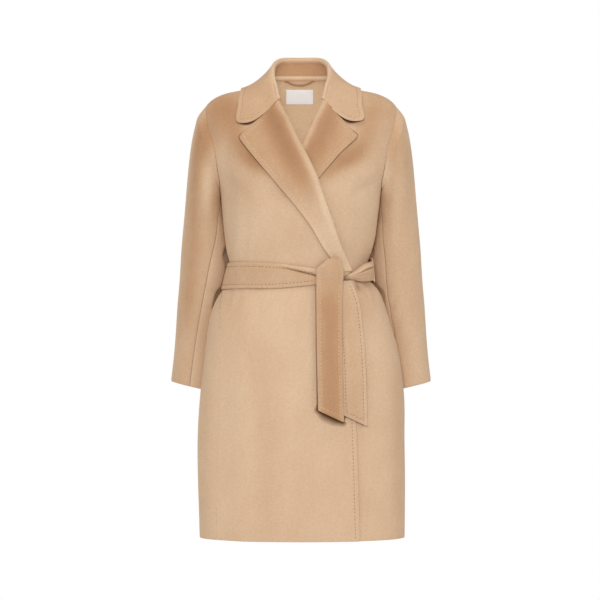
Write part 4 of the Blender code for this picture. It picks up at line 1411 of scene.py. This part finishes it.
def sleeve_tube(turn, along, side):
    """Middle of the sleeve's wall below the armhole."""
    rows = np.array(list(SLEEVE.values()), float)[:, :8] * MM
    row = smooth_course(range(1, len(rows) + 1), rows)(np.maximum(along, 1))
    inner, outer = row[..., 0:3], row[..., 3:6]
    front_share = ease(np.sin(turn), -0.35, 0.35)
    depth = row[..., 7] + (row[..., 6] - row[..., 7]) * front_share
    power = 0.82 + 0.18 * ease(along, 1, 4)
    s, c = np.sin(turn), np.cos(turn)
    s, c = np.sign(s) * np.abs(s) ** power, np.sign(c) * np.abs(c) ** power
    middle = (inner + outer) / 2 - (outer - inner) / 2 * c[..., None]
    tube = middle - (s * depth)[..., None] * np.array([0, 1, 0])
    tube[..., 0] *= side
    return clear_of_body(tube, side)


def sleeve_points(turn, along, side):
    """Middle of the sleeve's wall: the turn goes round it, and along is 0 at the armhole."""
    inset = (ARMHOLE_GAP + UNDERARM_GAP * (1 + np.cos(turn)) / 2) / ARMHOLE_RADIUS
    loop, out = armhole_corner(turn, side, inset)
    top = sleeve_tube(turn, np.ones_like(along), side)
    just_below = sleeve_tube(turn, np.full_like(along, 1.04), side)
    t = np.clip(along, 0, 1)[..., None]
    leave = (top - loop) + out * (3 * MM)
    arrive = unit(just_below - top) * np.linalg.norm(top - loop, axis=-1, keepdims=True) * 0.9
    head = (loop * (2 * t**3 - 3 * t**2 + 1) + leave * (t**3 - 2 * t**2 + t)
            + top * (3 * t**2 - 2 * t**3) + arrive * (t**3 - t**2))
    return np.where(along[..., None] < 1, head, sleeve_tube(turn, along, side))


def sleeve_seams(along, side):
    """Turn of the front and the back seam along the sleeve."""
    rows = np.radians(np.array([row[8:] for row in SLEEVE.values()], float))
    start = np.radians([SEAM_START])
    row = smooth_course(range(len(rows) + 1), np.concatenate([start, rows]))(along)
    return (row[..., 0] if side < 0 else row[..., 1]), row[..., 2]


def make_sleeve(wearer_side, side):
    beside_armhole, down_tube = np.linspace(0, 1, 19)[:-1], np.linspace(1, len(SLEEVE), 102)
    along = np.concatenate([beside_armhole, down_tube])[:, None]
    front, back = sleeve_seams(along, side)
    for part, start, end, count in (
        ("upper", front + SLEEVE_SEAM, back + 2 * math.pi - SLEEVE_SEAM, 66),
        ("under", back + SLEEVE_SEAM, front - SLEEVE_SEAM, 44),
    ):
        turn = start + (end - start) * spread(count, 0.5)
        points = sleeve_points(turn, along + 0 * turn, side)
        around = np.degrees(turn) % 360 * AROUND
        down = -from_edge(points, "first row") / MM
        if side > 0:
            points, around, down = points[:, ::-1], around[:, ::-1], down[:, ::-1]
        seams = np.minimum(from_edge(points, "first column"), from_edge(points, "last column"))
        head = from_edge(points, "first row")
        cuff = from_edge(points, "last row")
        top = ease(np.cos(np.radians(around / AROUND)), -0.6, 0.3)
        move = 0.25 * seam_dip(seams) + seam_dip(head) * (0.15 + 0.85 * top)
        move += creased(around, down, SLEEVE_CREASES[side])
        move -= 0.6 * MM * np.clip(1 - cuff / (4 * MM), 0, 1) ** 2
        points = points + normals_of(points) * move[..., None]

        x, z = points[..., 0], points[..., 2]
        streak = DARK_STREAK[side] * (1 - 0.75 * ease(-z, 0.46, 0.58))
        nap = 0.28 + streak * bell((around - 118) / 26, 1) + patches(x, z, SLEEVE_NAP_AND_LIGHT)
        # Painted light: the under sleeve, which turns in towards the body and lies in its shade,
        # is made lighter. Beside the armhole the top of the sleeve is darker.
        nap = nap + 0.2 * ease(-head, -0.1, -0.02) * top - (0.2 if part == "under" else 0)
        faded_head = head / SEAM_WIDTH + 1.3 * (1 - ease(-z, *SEAM_FADE))
        lines = {"seam": np.minimum(seams / SLEEVE_SHADOW + 0.85, faded_head)}
        sewn(f"sleeve_{wearer_side}_{part}", points, CLOTH, WOOL, nap=nap, lines=lines)


# ------------------------------------------------------------------ belt

# A fold along the belt beside its knot: x and z of its start, and how its line slopes.
PLEAT_X, PLEAT_Z, PLEAT_SLOPE = -58, -391, -0.245


def over_front(x, z, lift):
    """Point over the lapped fronts at x and z, the lift measured from the over front."""
    angle, level = place(x, z)
    base, out = body(angle, level), body_out(angle, level)
    return base + out * (lap_lift(base) + lift)[..., None]


def belt_wall(angle, centre, half, up):
    """Belt's wall, straight from its lower to its upper edge over the body."""
    ends = []
    for edge in (-1, 1):
        level = np.interp(centre + half * edge, BODY_ROWS[:, 0], LEVELS)
        base = body(angle, level)
        lift = lap_lift(base) + LAYER
        outward = body_out(angle, level) * np.array([1, 1, 0])
        ends.append(base + unit(outward) * lift[..., None])
    share = (np.asarray(up, float) + 1)[..., None] / 2
    return ends[0] + (ends[1] - ends[0]) * share


def make_belt_band():
    angle = np.radians(np.linspace(-284, 12, 230))
    centre, half = read_belt(angle).T
    points = belt_wall(angle, centre, half, np.linspace(-1, 1, 27)[:, None])
    edge = np.minimum(from_edge(points, "first row"), from_edge(points, "last row"))
    x, z = points[..., 0] / MM, points[..., 2] / MM
    move = stitched_edge(edge, BELT_EDGE) + creased(np.degrees(angle) + 0 * z, z, BELT_CREASES)
    fold = ease(x, -62, -30) * ease(-points[..., 1], 0, 0.05)
    line = PLEAT_Z + (x - PLEAT_X) * PLEAT_SLOPE
    groove = bell((z - line) / 2.6, 1) * fold
    strip = ease(z, line, line + 3) * fold
    move = move + (-2.5 * groove * ease(x, -60, 20) + 2.0 * strip * ease(x, -60, 10)) * MM
    points = points + normals_of(points) * move[..., None]
    # Painted light on the band: the rolled strip is lighter and the groove under it darker, and
    # the groove also gets painted shade.
    nap = 0.6 - 0.2 * strip + 0.3 * groove - 0.05 * bell(edge - 2 * MM, 5 * MM)
    shade = 0.95 * bell((z - line) / 2.0, 1) * fold * ease(x, -50, 0)
    sewn("belt_band", points, BELT_CLOTH, BELT_WOOL,
         nap=nap, shade=shade)
    rows = []
    for name in ("first row", "last row"):
        line, up = inset_line(points, name, BELT_INSET, BELT_CLOTH)
        rows.append((line[:-2], up[:-2]))
    stitch_rows("belt_band_stitches", rows, THREAD_PAINTED_SHADE)


# Creases of the belt: angle round the body in degrees instead of x. The twisted
# stretch, from the side to the knot: x, z, half height, bulge.
BELT_CREASES = (
    (-60, -396, -52, -430, 2, 3, -0.5),
    (-120, -394, -112, -432, 2, 4, -0.6),
    (-150, -434, -170, -398, -2, 5, -0.6),
    (-205, -388, -198, -424, 2, 4, -0.7),
    (-240, -384, -246, -418, 1, 4, -0.6),
)
TURN = (
    (151, -403.5, 23.5, 1.8),
    (140, -405.5, 22.5, 5),
    (127, -409, 19.8, 7.5),
    (114, -413, 12.8, 8.5),
    (101, -416.5, 6, 6.5),
    (84, -423, 3, 3),
)


def make_belt_turn():
    """Twisted stretch of the belt between the left side and the knot."""
    rows = smooth_course(range(len(TURN)), np.array(TURN, float) * MM)
    station = np.linspace(0, len(TURN) - 1, 60)
    x, z, half, bulge = rows(station).T
    up = np.linspace(-1, 1, 44)[:, None]
    lift = LAYER + bulge * (1 - np.abs(up) ** 2.4)
    end = len(TURN) - 1
    crease = 0.42 - 0.22 * station / end
    strip = bell((up - crease - 0.3) / 0.2, 1)
    groove = bell((up - crease) / 0.1, 1)
    share = ease(station, 0.3, 2)
    lift = lift + (2.4 * MM * strip - 4.4 * MM * groove) * (0.3 + 0.7 * share)
    second = bell((up + 0.3 - 0.15 * station / end) / 0.12, 1)
    lift = lift - 1.1 * MM * second * ease(station, 1.2, 3)
    points = over_front(x + 0 * up, z + half * up, lift + 0 * x)
    # Painted light on the turn: the strips are lighter and the grooves darker, and the painted
    # shade given to the piece darkens its deepest groove and the end that goes under the strap.
    nap = 0.55 + 0.4 * groove - 0.3 * strip + 0.12 * second + 0 * x
    turn_shade = 0.8 * bell((up - crease) / 0.07, 1) * share + 0.9 * ease(station, end - 0.9, end)
    points, nap, turn_shade = points[:, ::-1], nap[:, ::-1], turn_shade[:, ::-1]
    sewn("belt_turn", points, BELT_CLOTH, BELT_WOOL,
         nap=nap, shade=turn_shade)


# The front end of the belt, from behind its upper edge over the knot and down to the
# slanted end. Columns: z, x, half width, lift, how far the edges bend in.
STRAP = (
    (-396, 61, 14, 4.5, 0),
    (-384, 63, 13, 5.5, 0),
    (-375.5, 64.2, 13, 8.5, 1),
    (-373.5, 64.2, 13.5, 12.0, 2),
    (-378, 62.5, 16, 15.0, 3),
    (-389, 59.5, 21, 17.5, 4),
    (-402, 57, 25.2, 19, 4.5),
    (-418, 57.5, 25.6, 19.5, 4.5),
    (-436, 57.5, 25.5, 18.0, 3),
    (-480, 58, 25.5, 15.5, 1.2),
    (-560, 59, 25.5, 14, 1),
    (-640, 60.5, 25.5, 15.5, 1),
    (-713, 62, 25.5, 18, 1),
)
TAIL_BACK = (
    (-428, 77, 25.5, 5, 0.5),
    (-470, 95, 25.5, 5.2, 0.8),
    (-520, 103, 25.5, 5.4, 1),
    (-600, 109.5, 25.5, 6, 1),
    (-723, 112.5, 25.5, 8, 1),
)
TAIL_SLANT = 25 * MM


def make_strap(name, table, nodes, waves, dark, finish):
    """One end of the belt, widening to its slanted cut."""
    rows = smooth_course(range(len(table)), np.array(table, float) * MM)
    station = np.linspace(0, len(table) - 1, 34 * (len(table) - 1) // 2)
    z, x, half, lift, bend = rows(station).T[..., None]
    across = np.linspace(-1, 1, 33)
    down = np.clip((TAIL_END_Z - z) / (TAIL_END_Z - z[-1]), 0, 1) ** 3
    arch = 4.5 * MM * (1 - ease(-z, 0.376, 0.4)) * across**2
    place_z = z - TAIL_SLANT / 2 * down * across - arch
    points = over_front(x + half * across, place_z, lift - bend * np.abs(across) ** 3)[::-1]
    sides = np.minimum(from_edge(points, "first column"), from_edge(points, "last column"))
    end = from_edge(points, "first row")
    move = stitched_edge(np.minimum(sides, end), BELT_EDGE)
    move += creased(points[..., 0] / MM, points[..., 2] / MM, waves)
    points = points + normals_of(points) * move[..., None]
    half = half[::-1]
    falls = ease(-points[..., 2] / MM, 400, 500)
    nap = dark * (0.8 + 0.2 * falls) + 0.25 * dark * bell(sides - half, 0.6 * half) * falls
    nap = nap - 0.12 * bell(sides - 2 * MM, 4.5 * MM) - 0.05 * bell(end - 3 * MM, 5 * MM)
    sewn(name, points, BELT_CLOTH, BELT_WOOL, nodes, nap=nap)
    outline = np.concatenate([points[:0:-1, 0], points[0], points[1:, -1]])
    rows = [stitch_line(points, outline, BELT_CLOTH, BELT_INSET)]
    stitch_rows(name + "_stitches", rows, finish)


FRONT_TAIL_WAVES = (
    (50, -440, 52, -520, 2, 6, -0.8),
    (66, -470, 70, -600, -2, 7, -0.7),
    (44, -560, 58, -690, 3, 9, -0.6),
)
BACK_TAIL_WAVES = (
    (96, -440, 104, -520, 2, 6, -0.9),
    (104, -540, 112, -640, 3, 8, -0.7),
    (120, -600, 108, -700, -3, 8, -0.6),
)


# A belt loop's path: height from the belt's middle in half heights, millimetres out, and
# whether that is from the belt or from the coat.
LOOP_PATH = (
    (-1.6, 1.0, False),
    (-1.36, 4.0, False),
    (-1.12, 3.4, True),
    (-0.5, 3.2, True),
    (0.5, 3.2, True),
    (1.12, 3.4, True),
    (1.36, 4.0, False),
    (1.6, 1.0, False),
)
LOOP_STRANDS = 3
LOOP_STRAND = 0.62 * MM      # radius of a strand
LOOP_OFFSET = 0.42 * MM      # from the thread's middle to a strand's
LOOP_PITCH = 5 * MM          # length of one turn


def make_thread_loop(name, side):
    """Twisted thread loop at the side seam, out over the belt and back."""
    centre, half = BELT_AT_SIDE[side]
    angle = np.array([side * math.pi / 2])
    spots = []
    for up, lift, on_belt in LOOP_PATH:
        if on_belt:
            spot = belt_wall(angle, centre, half, up)[0]
        else:
            level = np.interp(centre + half * up, BODY_ROWS[:, 0], LEVELS)
            spot = body(angle, level)[0]
        spot[0] += side * lift * MM
        spots.append(spot)
    last = len(spots) - 1
    line = smooth_course(range(last + 1), np.array(spots))(np.linspace(0, last, 90))

    reach = run(line[None], 1)[0]
    along = unit(np.gradient(line, axis=0))
    sideways = unit(np.cross(along, np.array([0.0, 1.0, 0.1])))
    third = np.cross(along, sideways)
    around = np.linspace(0, 2 * math.pi, 9)[:-1, None]
    size = len(line) * len(around)
    corners, faces = [], []
    for k in range(LOOP_STRANDS):
        phase = (2 * math.pi * (reach / LOOP_PITCH + k / LOOP_STRANDS))[:, None]
        middle = line + LOOP_OFFSET * (np.cos(phase) * sideways + np.sin(phase) * third)
        round_it = np.cos(around) * sideways[:, None] + np.sin(around) * third[:, None]
        corners.append((middle[:, None] + LOOP_STRAND * round_it).reshape(-1, 3))
        at = k * size + np.arange(size).reshape(len(line), -1)
        ahead = np.roll(at, -1, 1)
        quads = np.stack([at[:-1], ahead[:-1], ahead[1:], at[1:]], axis=-1)
        faces.extend(quads.reshape(-1, 4).tolist())
        faces += [at[0, ::-1].tolist(), at[-1].tolist()]
    new_piece(name, np.concatenate(corners), faces, LOOP_THREAD, [name])


# ------------------------------------------------------------------ inside the neck

def make_label():
    """Bare woven label inside the back, under the neck."""
    share_x, share_z = np.linspace(-1, 1, 61), np.linspace(-1, 1, 33)[:, None]
    x = NECK_CENTRE_X + LABEL_SIZE[0] * share_x / 2
    z = LABEL_TOP - LABEL_SIZE[1] * (share_z + 1) / 2
    puff = LABEL_PUFF * (1 - share_x**4) * (1 - share_z**4)
    puff = puff + 0.25 * MM * np.sin(share_x * 5 + share_z * 2)
    lift = -(CLOTH / 2 + LABEL_PUFF) - puff
    points = on_body(x + 0 * z, z + 0 * x, lift, back=True)
    sewn("label", points, LABEL_CLOTH, LABEL_SATIN)
    edges = ("first row", "last row", "first column", "last column")
    rows = [inset_line(points, edge, LABEL_INSET, LABEL_CLOTH) for edge in edges]
    stitch_rows("label_stitches", rows, LABEL_THREAD, pitch=2.4 * MM, scale=0.55)


def make_hanger_loop():
    """Rouleau loop with a seam down it, sewn in at its two ends under the back neck."""
    share = np.linspace(-1.04, 1.04, 81)
    x = NECK_CENTRE_X + HANGER_HALF * share
    z = HANGER_TOP - HANGER_SAG * (1 - share**2)
    off = 0.8 * MM + 2.4 * MM * np.clip(1 - share**2, 0, 1)
    middle = on_body(x, z, -(CLOTH / 2 + HANGER_RADIUS + off), back=True)
    along = unit(np.gradient(middle, axis=0))
    sideways = unit(np.cross(along, np.array([0.0, 0.0, 1.0])))
    third = np.cross(along, sideways)
    around = np.linspace(0, 2 * math.pi, 17)[:, None, None]
    radius = HANGER_RADIUS * (1 - 0.16 * bell(around - 1.2, 0.25))
    ring = middle + radius * (np.cos(around) * sideways + np.sin(around) * third)

    at = np.arange(ring[:-1, :, 0].size).reshape(-1, len(share))
    ahead = np.roll(at, -1, 0)
    quads = np.stack([at[:, :-1], at[:, 1:], ahead[:, 1:], ahead[:, :-1]], axis=-1)
    faces = quads.reshape(-1, 4).tolist() + [at[:, 0].tolist(), at[::-1, -1].tolist()]
    corners = ring[:-1].reshape(-1, 3)
    piece = new_piece("hanger_loop", corners, faces, WOOL, ["hanger_loop"])
    lengths = np.stack([run(ring, 0)[:-1].ravel(), run(ring, 1)[:-1].ravel()], axis=1)
    values = {"nap": 1.2, "shade": 0.25, "inner": 0.0, **dict.fromkeys(SHADOW_LINES, FAR)}
    keep_on(piece.data, lengths, {key: np.full(len(corners), v) for key, v in values.items()})


make_back()
make_front("front_right", 1, FRONT_RIGHT_CREASES, LAPEL_RIGHT)
make_front("front_left", -1, FRONT_LEFT_CREASES, LAPEL_LEFT)
make_lapel("lapel_right", 1, LAPEL_RIGHT)
make_lapel("lapel_left", -1, LAPEL_LEFT)
make_collar()
make_stand()
make_sleeve("right", -1)
make_sleeve("left", 1)
make_belt_band()
make_belt_turn()
make_strap("belt_tail_front", STRAP, ["belt_knot", "belt_tail_front"], FRONT_TAIL_WAVES, 0.85,
           THREAD_PAINTED_HIGHLIGHT)
make_strap("belt_tail_back", TAIL_BACK, ["belt_tail_back"], BACK_TAIL_WAVES, 0.45, THREAD_PAINTED_SHADE)
make_thread_loop("belt_loop_right", -1)
make_thread_loop("belt_loop_left", 1)
make_label()
make_hanger_loop()


# ------------------------------------------------------------------ studio

def softbox(name, place_at, aim, size, power):
    light = bpy.data.lights.new(name, "AREA")
    light.shape = "DISK"
    light.size = size
    light.energy = power
    lamp = bpy.data.objects.new(name, light)
    lamp.location = place_at
    lamp.rotation_euler = (Vector(aim) - Vector(place_at)).to_track_quat("-Z", "Y").to_euler()
    bpy.context.scene.collection.objects.link(lamp)
    return lamp


LIGHTS = (
    ("front light", (-0.3, -5.2, 0.9), (0, 0, -0.45), 1.4, 110),
    ("key light", (-2.6, -2.6, 1.6), (0, 0, -0.5), 1.4, 15),
    ("fill light", (2.6, -2.8, 0.8), (0, 0, -0.5), 2.0, 28),
    ("top light", (0, -0.8, 2.4), (0, 0, -0.4), 1.6, 22),
    ("right side light", (-3.4, -0.9, 0.2), (0, 0, -0.5), 1.8, 14),
    ("left side light", (3.4, -0.9, 0.2), (0, 0, -0.5), 1.8, 9),
    ("right back light", (-2.4, 3.6, 0.3), (0, 0, -0.5), 1.8, 44),
    ("left back light", (2.4, 3.6, 0.3), (0, 0, -0.5), 1.8, 34),
)
for settings in LIGHTS:
    softbox(*settings)
inside = softbox("light inside the neck", (0, -0.03, -0.09), (0, 0.12, -0.03), 0.09, 0.074)
inside.visible_camera = False

FLOOR_Z = -1.42
bpy.ops.object.select_all(action="DESELECT")
bpy.ops.mesh.primitive_circle_add(vertices=64, radius=2.0, fill_type="NGON",
                                  location=(0, 0, FLOOR_Z))
floor = bpy.context.object
floor.name = "studio_floor"
paper = Finish("studio paper")
grain = paper.noise("Object", (1, 1, 1), size=3)
paper.surface({
    "Base Color": paper.mix(grain, colour(244, 243, 241), colour(250, 249, 248)),
    "Roughness": 0.9,
})
floor.data.materials.append(paper.material)

# Behind the coat the camera sees white, while the coat is lit by a dimmer sky.
SKY = 0.36
world = bpy.data.worlds.new("studio")
bpy.context.scene.world = world
world.use_nodes = True
tree = world.node_tree
sky = tree.nodes["Background"]
white = tree.nodes.new("ShaderNodeBackground")
for light, strength in ((sky, SKY), (white, 1.0)):
    light.inputs["Color"].default_value = (1, 1, 1, 1)
    light.inputs["Strength"].default_value = strength
choose = tree.nodes.new("ShaderNodeMixShader")
seen = tree.nodes.new("ShaderNodeLightPath")
for source, target in (
    (seen.outputs["Is Camera Ray"], choose.inputs["Fac"]),
    (sky.outputs["Background"], choose.inputs[1]),
    (white.outputs["Background"], choose.inputs[2]),
    (choose.outputs["Shader"], tree.nodes["World Output"].inputs["Surface"]),
):
    tree.links.new(source, target)

scene = bpy.context.scene
scene.view_settings.view_transform = "Standard"
lens = bpy.data.cameras.new("camera")
lens.lens = 136.4
lens.sensor_width = 36
camera = bpy.data.objects.new("camera", lens)
camera.location = (-0.0022, -5, -0.466)
camera.rotation_euler = (math.pi / 2, 0, 0)
scene.collection.objects.link(camera)
scene.camera = camera

bpy.context.view_layer.update()
